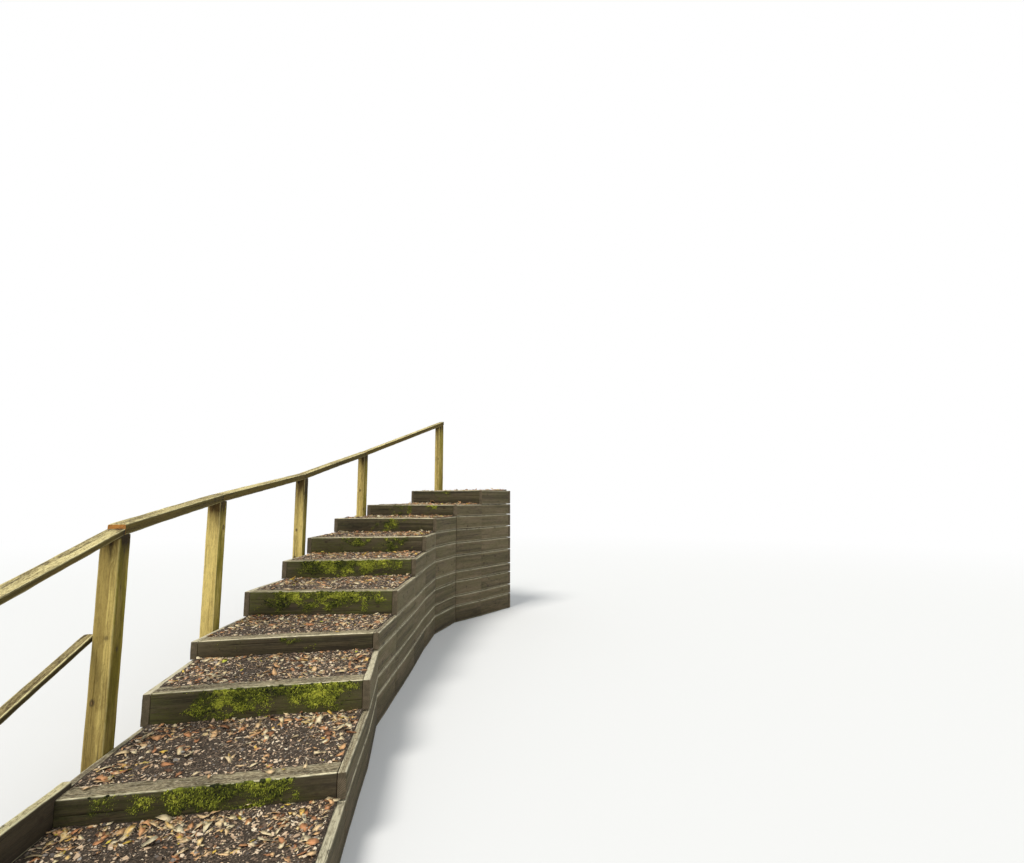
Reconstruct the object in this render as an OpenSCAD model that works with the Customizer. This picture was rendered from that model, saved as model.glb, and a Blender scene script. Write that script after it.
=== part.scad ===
// Woodland flight of timber steps with a post-and-rail handrail on its left side.
// Looking uphill is +Y, +Z is up, and the origin is under the middle of the lowest riser.

/* [Steps] */
// Height from one step to the next
rise = 185; // [160:5:210]
// Depth of an average tread, from riser front to riser front
going = 750; // [650:10:900]
// Length of a riser sleeper, across the flight
sleeper_l = 1250; // [1000:10:1500]
// Thickness of a riser sleeper, along the flight
sleeper_t = 125; // [90:5:150]
// Depth of a riser sleeper, from its top to its underside
sleeper_d = 250; // [240:5:300]
// How far the gravel of a tread lies below the top of its riser
gravel_drop = 12; // [0:1:30]

/* [Side boards] */
// Thickness of the boards on edge that close both flanks and the back
side_t = 50; // [35:5:75]
// How far the kerb board of the lowest tread stands above the riser behind it
kerb_proud = 25; // [0:5:50]
// Eased edges of the side boards
side_ease = 6; // [2:1:12]

/* [Posts] */
// Side of a square post
post_w = 110; // [75:5:125]
// Gap between the side boards and the posts beside them
post_gap = 30; // [5:5:80]
// Eased corner of a post
post_ease = 4; // [1:1:10]

/* [Handrail] */
// Width of the handrail
rail_w = 105; // [75:5:125]
// Thickness of the four upper rails
rail_t = 66; // [40:2:80]
// Thickness of the lowest rail, which is of thinner stock
lead_rail_t = 41; // [25:1:60]
// Eased edge of a rail
rail_ease = 4; // [1:1:10]
// How far the handrail runs on past its end posts
rail_over = 62; // [50:2:150]
// Distance between the two lowest posts, in plan
lead_bay = 1950; // [1200:50:2400]

/* [Knee rail] */
// Width of the knee rail of the lowest bay, a lath laid flat
knee_w = 60; // [40:5:90]
// Thickness of the knee rail, from its top to its underside
knee_t = 38; // [25:5:60]
// Height from the knee rail's top to the handrail's top at the upper post
knee_drop = 570; // [400:5:700]
// The same height at the lower post, where the knee rail has sagged
knee_drop_low = 710; // [400:10:750]
// How far the knee rail laps on to the upper post
knee_lap = 34; // [20:2:80]

/* [Hidden] */

// The steps were laid by hand and have settled since. Each list has one value a step.
// Way the flight runs on from each riser, in degrees to the right of +Y
HEADING = [-6.5, -6.5, -9, 0, 1.5, 0, 1, 14.5, 32, 34];
// Turn of each riser in plan, its right end uphill, and last the turn of the back
SKEW = [12, 12, 12, 12, 3, 9, 10, 0, -8, -28, -34];
// How much deeper than the average each tread was laid
STRAY = [30, 60, -60, -35, 40, -70, 65, 45, 30, 35];
// How far each step has sunk, or risen where the value is below zero
SUNK = [-45, 0, -12, 35, 0, 0, 0, 0, 20, -10];
STEPS = len(HEADING);

// The tread that each post stands beside, and how far along it. The first stands on the ground.
POST_TREAD = [0, 2, 4, 6, 8, 10];
POST_ALONG = [0, 0.62, 0.52, 0.98, 0.98, 0.89];
// How much further out than the usual gap each post was set. The second is fixed to the boards.
POST_STRAY = [0, -30, 0, 0, 0, 0];
// Height of each post's head above its tread
POST_H = [1010, 1167, 1010, 852, 880, 1148];
BAYS = len(POST_TREAD) - 1;

riser_arris = 7;
reach = 400;
timber = "#7a6a4e";
post_colour = "#9a8748";
rail_colour = "#c9bd92";
gravel = "#5b4b3b";
board_colour = "#8b7c5c";

// Plan geometry of the flight
function along(a) = [sin(a), cos(a)];
function across(a) = [cos(a), sin(a)];
function front(i) = i == 1
    ? sleeper_t / 2 * [sin(SKEW[0]), -cos(SKEW[0])]
    : front(i - 1) + (going + STRAY[i - 2]) * along(HEADING[i - 2]);
function end_at(i, side, out = 0) = front(i) + side * (sleeper_l / 2 + out) * across(SKEW[i - 1]);
function level(i) = i < 1 ? 0 : i * rise - SUNK[i - 1];
function edge_way(i, side = -1) = let (d = end_at(i + 1, side) - end_at(i, side)) d / norm(d);

// Plan geometry of the handrail
function outward(i) = let (d = edge_way(i)) [-d.y, d.x];
function way_turn(d) = atan2(-d.x, d.y);
function post_turn(k) = way_turn(edge_way(max(POST_TREAD[k], 2)));
function post_xy(k) = k == 0
    ? post_xy(1) - lead_bay * edge_way(2)
    : let (i = POST_TREAD[k], a = end_at(i, -1), b = end_at(i + 1, -1))
      a + POST_ALONG[k] * (b - a) + (side_t + post_gap + POST_STRAY[k] + post_w / 2) * outward(i);
function seat(k) = level(POST_TREAD[k]) + POST_H[k];
function bay_way(b) = let (d = post_xy(b + 1) - post_xy(b)) d / norm(d);
function bay_l(b) = norm(post_xy(b + 1) - post_xy(b));
function bay_slope(b) = atan2(seat(b + 1) - seat(b), bay_l(b));
function thickness(b) = b == 0 ? lead_rail_t : rail_t;
function turn_right(d) = [d.y, -d.x];
function joint_way(k) = k == 0 ? turn_right(bay_way(0))
    : k == BAYS ? turn_right(bay_way(BAYS - 1))
    : let (d = bay_way(k - 1) + bay_way(k)) turn_right(d / norm(d));

// Rectangle from corner a to corner b with its corners eased by c
module eased(a, b, c) {
    polygon([[a.x + c, a.y], [b.x - c, a.y], [b.x, a.y + c], [b.x, b.y - c],
             [b.x - c, b.y], [a.x + c, b.y], [a.x, b.y - c], [a.x, a.y + c]]);
}

// Places its children with X along riser i, Y uphill from its front and Z at the step's level
module at_riser(i) {
    translate([front(i).x, front(i).y, level(i)]) rotate([0, 0, SKEW[i - 1]]) children();
}

// Sleeper i's height: the lowest one stands on the ground
function sleeper_h(i) = min(sleeper_d, level(i));

// Riser sleeper i, its ends sawn to the line of the side boards
module riser(i) {
    color(timber) intersection() {
        at_riser(i) translate([-sleeper_l, 0, 0]) rotate([90, 0, 90]) linear_extrude(2 * sleeper_l)
            eased([0, -sleeper_h(i)], [sleeper_t, 0], riser_arris);
        linear_extrude(2 * level(i))
            polygon([end_at(i, -1) - reach * edge_way(i, -1), end_at(i, 1) - reach * edge_way(i, 1),
                     end_at(i + 1, 1), end_at(i + 1, -1)]);
    }
}

// Room that sleeper i takes in the gravel behind it, and under it where it doesn't reach the ground
module riser_room(i) {
    low = i == 1 ? reach : sleeper_h(i);
    at_riser(i) translate([-sleeper_l, -sleeper_t, -low]) cube([2 * sleeper_l, 2 * sleeper_t, low + rise]);
}

// Compacted stone and earth behind riser i, down to the ground
module tread(i) {
    color(gravel) difference() {
        linear_extrude(level(i) - gravel_drop)
            polygon([end_at(i, -1), end_at(i, 1), end_at(i + 1, 1), end_at(i + 1, -1)]);
        riser_room(i);
    }
}

// Section of a stack of boards on edge, one a step, from its inner face out and up
module board_stack(top, side) {
    face = side_t;
    polygon([[0, 0], [side * face, 0],
             for (j = [1:1:top - 1]) each [[side * face, level(j) - side_ease],
                                           [side * (face - side_ease), level(j)],
                                           [side * face, level(j) + side_ease]],
             [side * face, level(top) - side_ease], [side * (face - side_ease), level(top)],
             [0, level(top)]]);
}

// Bar along the edge of tread i on one side, run on past both ends. Its section is the child.
module edge_bar(i, side) {
    l = norm(end_at(i + 1, side) - end_at(i, side));
    translate([end_at(i, side).x, end_at(i, side).y, 0]) rotate([0, 0, way_turn(edge_way(i, side))])
        translate([0, l + reach, 0]) rotate([90, 0, 0]) linear_extrude(l + 2 * reach) children();
}

// Everything on one side of the flight between the line of riser i and that of riser i + 1
module beside(i, side) {
    translate([0, 0, -reach]) linear_extrude(level(STEPS) + 2 * reach)
        polygon([end_at(i, side, -reach), end_at(i, side, reach),
                 end_at(i + 1, side, reach), end_at(i + 1, side, -reach)]);
}

// Boards that close both flanks of step i
module sides(i) {
    color(board_colour) difference() {
        for (side = [-1, 1]) intersection() {
            edge_bar(i, side) board_stack(i, side);
            beside(i, side);
        }
        if (i == 2) kerb(reach, reach);
    }
}

// Board on edge beside the lowest tread, lapped on to the end of the second riser
module kerb(t, top) {
    lap = sleeper_t * edge_way(2);
    intersection() {
        edge_bar(1, -1) eased([-t, level(1)], [0, top], rail_ease);
        translate([0, 0, -reach]) linear_extrude(level(STEPS) + 2 * reach)
            polygon([end_at(1, -1, -reach), end_at(1, -1, reach),
                     end_at(2, -1, reach) + lap, end_at(2, -1, -reach) + lap]);
    }
}

module kerb_board() {
    color(board_colour) kerb(side_t, level(2) + kerb_proud);
}

// Boards across the back of the highest tread
module back_boards() {
    e = STEPS + 1;
    w = sleeper_l + 2 * side_t;
    color(board_colour) translate([front(e).x, front(e).y, 0]) rotate([0, 0, SKEW[STEPS] + 90])
        translate([0, w / 2, 0]) rotate([90, 0, 0]) linear_extrude(w) board_stack(STEPS, 1);
}

// Post k, its head cut to the slope of the rails that lie on it
module post(k) {
    color(post_colour) difference() {
        translate([post_xy(k).x, post_xy(k).y, 0]) rotate([0, 0, post_turn(k)])
            linear_extrude(seat(k) + post_w)
                eased([-post_w / 2, -post_w / 2], [post_w / 2, post_w / 2], post_ease);
        if (k > 0) over_rail(k - 1);
        if (k < BAYS) over_rail(k);
    }
}

// Plan that ends bay b: on the joint over each post, or past an end post
module bay_plan(b) {
    a = post_xy(b) - (b == 0 ? rail_over : 0) * bay_way(b);
    c = post_xy(b + 1) + (b == BAYS - 1 ? rail_over : 0) * bay_way(b);
    wa = reach / 2 * joint_way(b);
    wc = reach / 2 * joint_way(b + 1);
    polygon([a - wa, c - wc, c + wc, a + wa]);
}

// Places its children at the head of the lower post of bay b, with Y up the slope
module at_bay(b) {
    translate([post_xy(b).x, post_xy(b).y, seat(b)])
        rotate([0, 0, way_turn(bay_way(b))]) rotate([bay_slope(b), 0, 0]) children();
}

// Bar along bay b, run on past both of its ends. Its section is the child, with Y up.
module bay_bar(b) {
    slope_l = bay_l(b) / cos(bay_slope(b));
    at_bay(b) translate([0, slope_l + reach, 0]) rotate([90, 0, 0])
        linear_extrude(slope_l + 2 * reach) children();
}

module rail(b) {
    color(rail_colour) intersection() {
        bay_bar(b) eased([-rail_w / 2, 0], [rail_w / 2, thickness(b)], rail_ease);
        linear_extrude(2 * seat(BAYS)) bay_plan(b);
    }
}

// Everything above the seats of bay b
module over_rail(b) {
    intersection() {
        bay_bar(b) translate([-reach / 2, 0]) square([reach, reach]);
        linear_extrude(2 * seat(BAYS)) bay_plan(b);
    }
}

// Knee rail of the lowest bay, on the outer faces of its posts
module knee_rail() {
    rail_top = lead_rail_t / cos(bay_slope(0));
    low = seat(0) + rail_top - knee_drop_low;
    high = seat(1) + rail_top - knee_drop;
    slope = atan2(high - low, lead_bay);
    lower = post_xy(0) - rail_over * bay_way(0);
    upper = post_xy(1) - (post_w / 2 - knee_lap) * bay_way(0);
    wide = reach / 2 * turn_right(bay_way(0));
    color(board_colour) intersection() {
        translate([post_xy(0).x, post_xy(0).y, low]) rotate([0, 0, way_turn(bay_way(0))])
            rotate([slope, 0, 0]) translate([0, lead_bay + 2 * reach, 0]) rotate([90, 0, 0])
                linear_extrude(lead_bay + 3 * reach)
                    eased([-post_w / 2 - knee_w, -knee_t], [-post_w / 2, 0], rail_ease);
        linear_extrude(2 * seat(1)) polygon([lower - wide, upper - wide, upper + wide, lower + wide]);
    }
}

riser(1);  // riser_01
riser(2);  // riser_02
riser(3);  // riser_03
riser(4);  // riser_04
riser(5);  // riser_05
riser(6);  // riser_06
riser(7);  // riser_07
riser(8);  // riser_08
riser(9);  // riser_09
riser(10);  // riser_10
tread(1);  // tread_01
tread(2);  // tread_02
tread(3);  // tread_03
tread(4);  // tread_04
tread(5);  // tread_05
tread(6);  // tread_06
tread(7);  // tread_07
tread(8);  // tread_08
tread(9);  // tread_09
tread(10);  // tread_10
sides(1);  // sides_01
sides(2);  // sides_02
sides(3);  // sides_03
sides(4);  // sides_04
sides(5);  // sides_05
sides(6);  // sides_06
sides(7);  // sides_07
sides(8);  // sides_08
sides(9);  // sides_09
sides(10);  // sides_10
kerb_board();
back_boards();
post(0);  // post_01
post(1);  // post_02
post(2);  // post_03
post(3);  // post_04
post(4);  // post_05
post(5);  // post_06
rail(0);  // rail_01
rail(1);  // rail_02
rail(2);  // rail_03
rail(3);  // rail_04
rail(4);  // rail_05
knee_rail();
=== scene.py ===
"""Looks of a woodland flight of timber steps with a handrail.

Every timber is rebuilt round its solid in the frame as a weathered surface, the treads get a crust
of gravel and soil with stones, leaves and twigs on it, and the damp risers carry moss.
All sizes are in metres. Every timber, riser and tread draws from a random seed of its own, so that
a change to one leaves the others as they are.
"""
import logging
import math
from dataclasses import dataclass, field
from enum import Enum
from functools import reduce

import bpy
import numpy as np
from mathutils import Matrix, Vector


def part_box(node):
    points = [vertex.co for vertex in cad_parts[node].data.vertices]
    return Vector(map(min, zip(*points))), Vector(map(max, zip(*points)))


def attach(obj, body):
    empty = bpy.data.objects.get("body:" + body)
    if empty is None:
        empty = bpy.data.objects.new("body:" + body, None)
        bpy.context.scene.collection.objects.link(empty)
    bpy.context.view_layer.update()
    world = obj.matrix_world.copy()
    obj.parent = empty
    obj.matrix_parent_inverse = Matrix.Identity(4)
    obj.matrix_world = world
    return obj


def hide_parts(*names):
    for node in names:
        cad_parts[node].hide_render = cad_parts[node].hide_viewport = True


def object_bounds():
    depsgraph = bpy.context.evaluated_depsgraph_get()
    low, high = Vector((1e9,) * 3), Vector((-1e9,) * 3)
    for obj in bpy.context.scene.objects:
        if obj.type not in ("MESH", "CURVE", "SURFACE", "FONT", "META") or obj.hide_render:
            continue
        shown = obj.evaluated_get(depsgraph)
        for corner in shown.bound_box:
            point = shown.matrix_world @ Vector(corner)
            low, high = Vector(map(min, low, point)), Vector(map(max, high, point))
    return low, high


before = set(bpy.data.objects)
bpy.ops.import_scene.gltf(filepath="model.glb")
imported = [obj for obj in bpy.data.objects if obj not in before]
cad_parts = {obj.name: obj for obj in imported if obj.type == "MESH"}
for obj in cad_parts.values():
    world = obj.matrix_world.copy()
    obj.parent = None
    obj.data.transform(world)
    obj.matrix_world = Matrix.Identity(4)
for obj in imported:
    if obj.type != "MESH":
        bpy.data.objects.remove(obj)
CAD_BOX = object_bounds()
LOG = logging.getLogger("timber_steps")

STEPS = sum(name.startswith("riser_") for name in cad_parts)
POSTS = sum(name.startswith("post_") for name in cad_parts)
BAYS = POSTS - 1
UP = np.array([0.0, 0.0, 1.0])
FULL_TURN = 2 * math.pi

# Way that the shaded faces of the timbers look, and the least share of shade that any face has
SHADED_WAY = np.array([0.88, 0.40, -0.25])
LEAST_SHADE = 0.35

# Parts of a quarter circle in an outline's table, and the gap under which two mesh lines are one
TABLE_ARC_STEPS = 8
LEAST_GAP = 4e-4

# Rays along a timber start at this share of the section, so that they meet the end and not an edge
RAY_INSET = 0.97

Triple = tuple[float, float, float]
Ramp = tuple[tuple[float, Triple], ...]
Marks = dict[str, np.ndarray]
Palette = dict[str, bpy.types.Material]


class End(Enum):
    """Which end of a timber is meant, by the run of its grain."""

    LOWER = 0
    UPPER = 1


class Face(Enum):
    """Face of a timber that nails are driven into: the one side points to, its opposite or the top."""

    OUT = 1
    IN = -1
    TOP = 0


class Tuft(Enum):
    """Kind of growth that a patch of moss is made of."""

    SPIKE = "short leaning spike"
    CUSHION = "low cushion"


def lattice_values(index: np.ndarray, seed: int) -> np.ndarray:
    """Random value from -1 to 1 for each whole-number corner of the lattice.

    The three numbers are multiplied by large primes, added and mixed by shifts.

    Args:
        index: whole numbers, shape (..., 3).
        seed: another seed gives other values.

    Returns:
        Values of shape (...).
    """
    mixed = index[..., 0] * 73856093 + index[..., 1] * 19349663 + index[..., 2] * 83492791
    mixed = mixed + seed * 2654435 + 97
    mixed = (mixed ^ (mixed >> 13)) * 1274126177
    mixed = mixed ^ (mixed >> 16)
    return (mixed & 0xFFFF) / 32767.5 - 1.0


def noise(points: np.ndarray, seed: int, octaves: int = 1) -> np.ndarray:
    """Smooth noise from about -1 to 1.

    A point blends the eight lattice corners round it by 3t^2 - 2t^3 along each axis, and each
    further octave doubles the frequency and halves the height.

    Args:
        points: places, shape (..., 3), with one lattice cell a unit.
        seed: another seed gives another pattern.
        octaves: number of layers.

    Returns:
        Noise of shape (...).
    """
    total = np.zeros(points.shape[:-1])
    for octave in range(octaves):
        place = points * 2.0 ** octave + 17.3 * octave
        cell = np.floor(place).astype(np.int64)
        part = place - cell
        part = part * part * (3.0 - 2.0 * part)
        for corner in np.ndindex(2, 2, 2):
            weight = np.prod(np.where(np.array(corner) == 1, part, 1.0 - part), axis=-1)
            total += 0.5 ** octave * weight * lattice_values(cell + np.array(corner), seed)
    return total


def stacked(*parts: np.ndarray) -> np.ndarray:
    """Coordinates put side by side as the last axis, after they are spread to one shape."""
    return np.stack(np.broadcast_arrays(*parts), axis=-1)


def unit(vector: np.ndarray) -> np.ndarray:
    """The vector at length one."""
    return vector / np.linalg.norm(vector, axis=-1, keepdims=True)


def node_triangles(node: str) -> np.ndarray:
    """Reads a CAD node's mesh.

    Args:
        node: name of the node.

    Returns:
        Corner points of its triangles, shape (count, 3, 3).
    """
    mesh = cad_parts[node].data
    mesh.calc_loop_triangles()
    points = np.empty(3 * len(mesh.vertices), np.float32)
    mesh.vertices.foreach_get("co", points)
    index = np.empty(3 * len(mesh.loop_triangles), np.int32)
    mesh.loop_triangles.foreach_get("vertices", index)
    return points.astype(float).reshape(-1, 3)[index].reshape(-1, 3, 3)


def distance_to_surface(starts: np.ndarray, way: np.ndarray, corners: np.ndarray) -> np.ndarray:
    """How far each start is from the first triangle in front of it.

    A triangle's points are a + p (b - a) + q (c - a) with p, q and 1 - p - q at least zero, and
    start + distance way is solved for p, q and the distance by Cramer's rule.

    Args:
        starts: points inside the solid, shape (n, 3).
        way: unit direction that they look in.
        corners: the solid's triangles, shape (t, 3, 3).

    Returns:
        Distances of shape (n,).
    """
    tolerance = 1e-6
    first = corners[:, 0]
    edge_b, edge_c = corners[:, 1] - first, corners[:, 2] - first
    cross = np.cross(way, edge_c)
    size = np.einsum("tk,tk->t", edge_b, cross)
    faces_way = np.abs(size) > 1e-12
    scale = np.where(faces_way, 1.0 / np.where(faces_way, size, 1.0), 0.0)
    offset = starts[:, None] - first
    square = np.cross(offset, edge_b)
    p = np.einsum("ntk,tk->nt", offset, cross) * scale
    q = square @ way * scale
    distance = np.einsum("ntk,tk->nt", square, edge_c) * scale
    inside = (p > -tolerance) & (q > -tolerance) & (p + q < 1.0 + tolerance)
    found = np.where(inside & faces_way & (distance > tolerance), distance, np.inf).min(axis=1)
    return np.where(np.isfinite(found), found, found[np.isfinite(found)].max())


@dataclass
class Shape:
    """Faces worked out with numpy, before they become a mesh.

    finish and smooth hold a value for each face, first the quads and then the tris, and marks
    hold a value or a vector for each point.
    """

    points: np.ndarray
    quads: np.ndarray
    tris: np.ndarray
    finish: np.ndarray
    smooth: np.ndarray
    marks: Marks = field(default_factory=dict)


def joined(shapes: list[Shape]) -> Shape:
    """Joins shapes that carry the same marks.

    Args:
        shapes: the shapes.

    Returns:
        One shape, with the quads of all of them before their tris.
    """
    starts = np.cumsum([0] + [len(shape.points) for shape in shapes[:-1]])
    quad_counts = [len(shape.quads) for shape in shapes]
    split = [(shape.finish[:n], shape.finish[n:], shape.smooth[:n], shape.smooth[n:])
             for shape, n in zip(shapes, quad_counts)]
    return Shape(
        points=np.concatenate([shape.points for shape in shapes]),
        quads=np.concatenate([shape.quads + start for shape, start in zip(shapes, starts)]),
        tris=np.concatenate([shape.tris + start for shape, start in zip(shapes, starts)]),
        finish=np.concatenate([s[0] for s in split] + [s[1] for s in split]),
        smooth=np.concatenate([s[2] for s in split] + [s[3] for s in split]),
        marks={key: np.concatenate([shape.marks[key] for shape in shapes])
               for key in shapes[0].marks})


def plain_shape(points: np.ndarray, quads: np.ndarray, tris: np.ndarray, smooth: bool,
                marks: Marks | None = None) -> Shape:
    """A shape with one finish, smooth or faceted all over."""
    count = len(quads) + len(tris)
    return Shape(points, quads.reshape(-1, 4), tris.reshape(-1, 3), np.zeros(count, np.int32),
                 np.full(count, smooth), marks or {})


def make_piece(name: str, shape: Shape, finishes: list[bpy.types.Material], slot: str,
               *nodes: str) -> bpy.types.Object:
    """Turns a shape into a piece that rides on the part.

    Args:
        name: name of the piece.
        shape: its faces, in the row frame; they are held inside the CAD box.
        finishes: its materials, in the order that the shape's finish numbers name them.
        slot: not used.
        nodes: CAD nodes that it stands for.

    Returns:
        The new object.
    """
    mesh = bpy.data.meshes.new(name)
    points = np.clip(shape.points, np.array(CAD_BOX[0]), np.array(CAD_BOX[1]))
    counts = np.concatenate([np.full(len(shape.quads), 4), np.full(len(shape.tris), 3)])
    loops = np.concatenate([shape.quads.ravel(), shape.tris.ravel()])
    mesh.vertices.add(len(points))
    mesh.vertices.foreach_set("co", points.astype(np.float32).ravel())
    mesh.loops.add(len(loops))
    mesh.loops.foreach_set("vertex_index", loops.astype(np.int32))
    mesh.polygons.add(len(counts))
    mesh.polygons.foreach_set("loop_start", (np.cumsum(counts) - counts).astype(np.int32))
    mesh.polygons.foreach_set("material_index", shape.finish.astype(np.int32))
    mesh.polygons.foreach_set("use_smooth", shape.smooth.astype(bool))
    for key, values in shape.marks.items():
        kind, target = ("FLOAT", "value") if values.ndim == 1 else ("FLOAT_VECTOR", "vector")
        attribute = mesh.attributes.new(key, kind, "POINT")
        attribute.data.foreach_set(target, values.astype(np.float32).ravel())
    for finish in finishes:
        mesh.materials.append(finish)
    mesh.update(calc_edges=True)
    mesh.validate()
    piece = bpy.data.objects.new(name, mesh)
    bpy.context.scene.collection.objects.link(piece)
    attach(piece, "root")
    if nodes:
        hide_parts(*nodes)
    LOG.info("%s: %d faces", name, len(counts))
    return piece


def dress(node: str, shape: Shape, slot: str, *finishes: bpy.types.Material) -> None:
    """Makes a shape the weathered piece that stands for a CAD node."""
    make_piece(f"weathered_{node}", shape, list(finishes), slot, node)


@dataclass(frozen=True)
class TimberFrame:
    """Where a straight timber lies, read from its solid.

    along runs with the grain, side and up span the section, and side x along is up.
    """

    middle: np.ndarray
    side: np.ndarray
    up: np.ndarray
    along: np.ndarray
    half: np.ndarray
    corners: np.ndarray

    @classmethod
    def of(cls, corners: np.ndarray, level: bool = False) -> "TimberFrame":
        """Reads the frame from a solid's triangles.

        The grain runs square to the widest face and to the widest face that is square to it, or
        for a level stack of boards square to the widest face and to the vertical.

        Args:
            corners: the solid's triangles, shape (t, 3, 3).
            level: whether the solid is a stack of level boards.

        Returns:
            The frame.
        """
        normals = np.cross(corners[:, 1] - corners[:, 0], corners[:, 2] - corners[:, 0])
        areas = np.linalg.norm(normals, axis=1)
        normals = normals / np.maximum(areas, 1e-12)[:, None]
        widest = normals[areas.argmax()]
        square = np.abs(normals @ widest) < 0.2
        second = UP if level else normals[np.where(square, areas, 0.0).argmax()]
        along = unit(np.cross(widest, second))
        along = along * np.sign(along[np.abs(along).argmax()])
        side = widest * np.sign(widest[0]) if abs(along[2]) > 0.99 else unit(np.cross(along, UP))
        up = unit(np.cross(side, along))
        spans = corners.reshape(-1, 3) @ np.stack([side, up, along]).T
        low, high = spans.min(axis=0), spans.max(axis=0)
        middle = (low + high) / 2.0 @ np.stack([side, up, along])
        return cls(middle, side, up, along, (high - low)[:2] / 2.0, corners)

    @classmethod
    def of_node(cls, node: str, level: bool = False) -> "TimberFrame":
        """The frame of a CAD node."""
        return cls.of(node_triangles(node), level)

    def course(self, low: float, high: float) -> "TimberFrame":
        """The frame of one board of a stack, from height low to height high."""
        middle = np.array([self.middle[0], self.middle[1], (low + high) / 2.0])
        return TimberFrame(middle, self.side, self.up, self.along,
                           np.array([self.half[0], (high - low) / 2.0]), self.corners)

    def place(self, section: np.ndarray, run: np.ndarray) -> np.ndarray:
        """Points at a place in the section, shape (..., 2), and a run along the grain."""
        return (self.middle + section[..., :1] * self.side + section[..., 1:] * self.up
                + run[..., None] * self.along)

    def middle_reach(self, end: End) -> float:
        """How far the middle line runs from the timber's middle to one end."""
        return float(self.reach(np.zeros((1, 2)), end)[0])

    @property
    def half_run(self) -> float:
        """Half of the timber's length, along its middle line."""
        return self.middle_reach(End.UPPER)

    def local(self, points: np.ndarray) -> np.ndarray:
        """Points as (side, up, along) from the middle, shape (..., 3)."""
        return (points - self.middle) @ np.stack([self.side, self.up, self.along]).T

    def reach(self, section: np.ndarray, end: End) -> np.ndarray:
        """How far the timber runs from its middle to one end.

        Args:
            section: places in the section, shape (n, 2).
            end: the end.

        Returns:
            Runs along the grain, below zero towards the lower end.
        """
        sign = 1.0 if end is End.UPPER else -1.0
        inset = section * RAY_INSET
        starts = self.place(inset, np.zeros(inset.shape[:-1]))
        return sign * distance_to_surface(starts, sign * self.along, self.corners)


@dataclass
class Outline:
    """Rounded rectangle round a section, read by the distance gone round it.

    It starts at the lower right corner and goes round counter-clockwise: four quarter circles of
    centre + radius (cos a, sin a), joined by straight runs.
    """

    half: np.ndarray
    radius: float
    gone: np.ndarray = field(init=False)
    place: np.ndarray = field(init=False)
    normal: np.ndarray = field(init=False)

    def __post_init__(self) -> None:
        """Works out the table that the other methods read."""
        signs = np.array([[1, -1], [1, 1], [-1, 1], [-1, -1]])
        turns = (np.arange(4)[:, None] - 1 + np.linspace(0, 1, TABLE_ARC_STEPS + 1)) * math.pi / 2
        self.normal = np.stack([np.cos(turns), np.sin(turns)], axis=-1)
        place = signs[:, None] * (self.half - self.radius) + self.radius * self.normal
        self.place = np.concatenate([place.reshape(-1, 2), place[0, :1]])
        self.normal = np.concatenate([self.normal.reshape(-1, 2), self.normal[0, :1]])
        steps = np.linalg.norm(np.diff(self.place, axis=0), axis=1)
        self.gone = np.concatenate([[0.0], np.cumsum(steps)])

    @property
    def length(self) -> float:
        """The way once round."""
        return float(self.gone[-1])

    def read(self, gone: np.ndarray) -> tuple[np.ndarray, np.ndarray]:
        """Places and outward normals, each of shape (..., 2), at distances gone round."""
        gone = np.mod(gone, self.length)
        return tuple(np.stack([np.interp(gone, self.gone, table[:, k]) for k in (0, 1)], axis=-1)
                     for table in (self.place, self.normal))

    @property
    def arcs(self) -> np.ndarray:
        """Distances gone round of the table's points, with a row for each corner."""
        return self.gone[:-1].reshape(4, -1)

    def straights(self) -> list[tuple[float, float]]:
        """Start and end of the right, top, left and bottom faces, as distances gone round."""
        ends = np.append(self.arcs[1:, 0], self.length)
        return [(float(start), float(end)) for start, end in zip(self.arcs[:, -1], ends)]

    def corner(self, gone: np.ndarray, spread: float) -> np.ndarray:
        """Nearness to a corner, e^-(d / spread)^2 at distance d from the nearest.

        Args:
            gone: distances gone round.
            spread: distance at which the nearness has fallen to about a third.

        Returns:
            Values from 0 to 1, of the same shape.
        """
        away = np.abs(gone[..., None] - self.arcs.mean(axis=1))
        away = np.minimum(away, self.length - away).min(axis=-1)
        return np.exp(-(away / spread) ** 2)

    def columns(self, step: float, arc_steps: int, extra: np.ndarray) -> np.ndarray:
        """Distances gone round for a mesh's lines along the grain.

        Args:
            step: widest gap between lines on the flat faces.
            arc_steps: number of flat faces that make up a rounded corner.
            extra: further distances that need a line, such as those of a split.

        Returns:
            Rising distances.
        """
        arcs = self.arcs[:, ::TABLE_ARC_STEPS // arc_steps].ravel()
        flats = [np.linspace(a, b, max(2, math.ceil((b - a) / step) + 1))[1:-1]
                 for a, b in self.straights()]
        every = np.sort(np.concatenate([arcs, *flats, np.mod(extra, self.length)]))
        return every[np.append(True, np.diff(every) > LEAST_GAP)]


@dataclass(frozen=True)
class Weathering:
    """How far the weather has worked on a timber, and how fine its mesh is.

    radius rounds the corners, wear and end_wear take off corners and ends over the distances
    corner_spread and end_spread, relief is the depth of the grain, least_inset keeps every face
    inside the solid, and bow bends the timber. splits is the number of drying splits, with their
    greatest depth and the ranges of half their length and width. The mesh has lines no more than
    step_round and step_along apart, arc_steps faces to a corner, rows close together over
    end_band at both ends, and rings on its ends at the shares end_rings of the section.
    """

    radius: float = 0.006
    wear: float = 0.003
    corner_spread: float = 0.012
    relief: float = 0.0012
    least_inset: float = 0.0004
    bow: float = 0.002
    end_wear: float = 0.0025
    end_spread: float = 0.004
    end_band: float = 0.008
    splits: int = 6
    split_depth: float = 0.006
    split_length: tuple[float, float] = (0.1, 0.35)
    split_width: tuple[float, float] = (0.0008, 0.0018)
    step_round: float = 0.012
    step_along: float = 0.03
    arc_steps: int = 4
    end_rings: tuple[float, ...] = (0.82, 0.55, 0.28)


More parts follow.
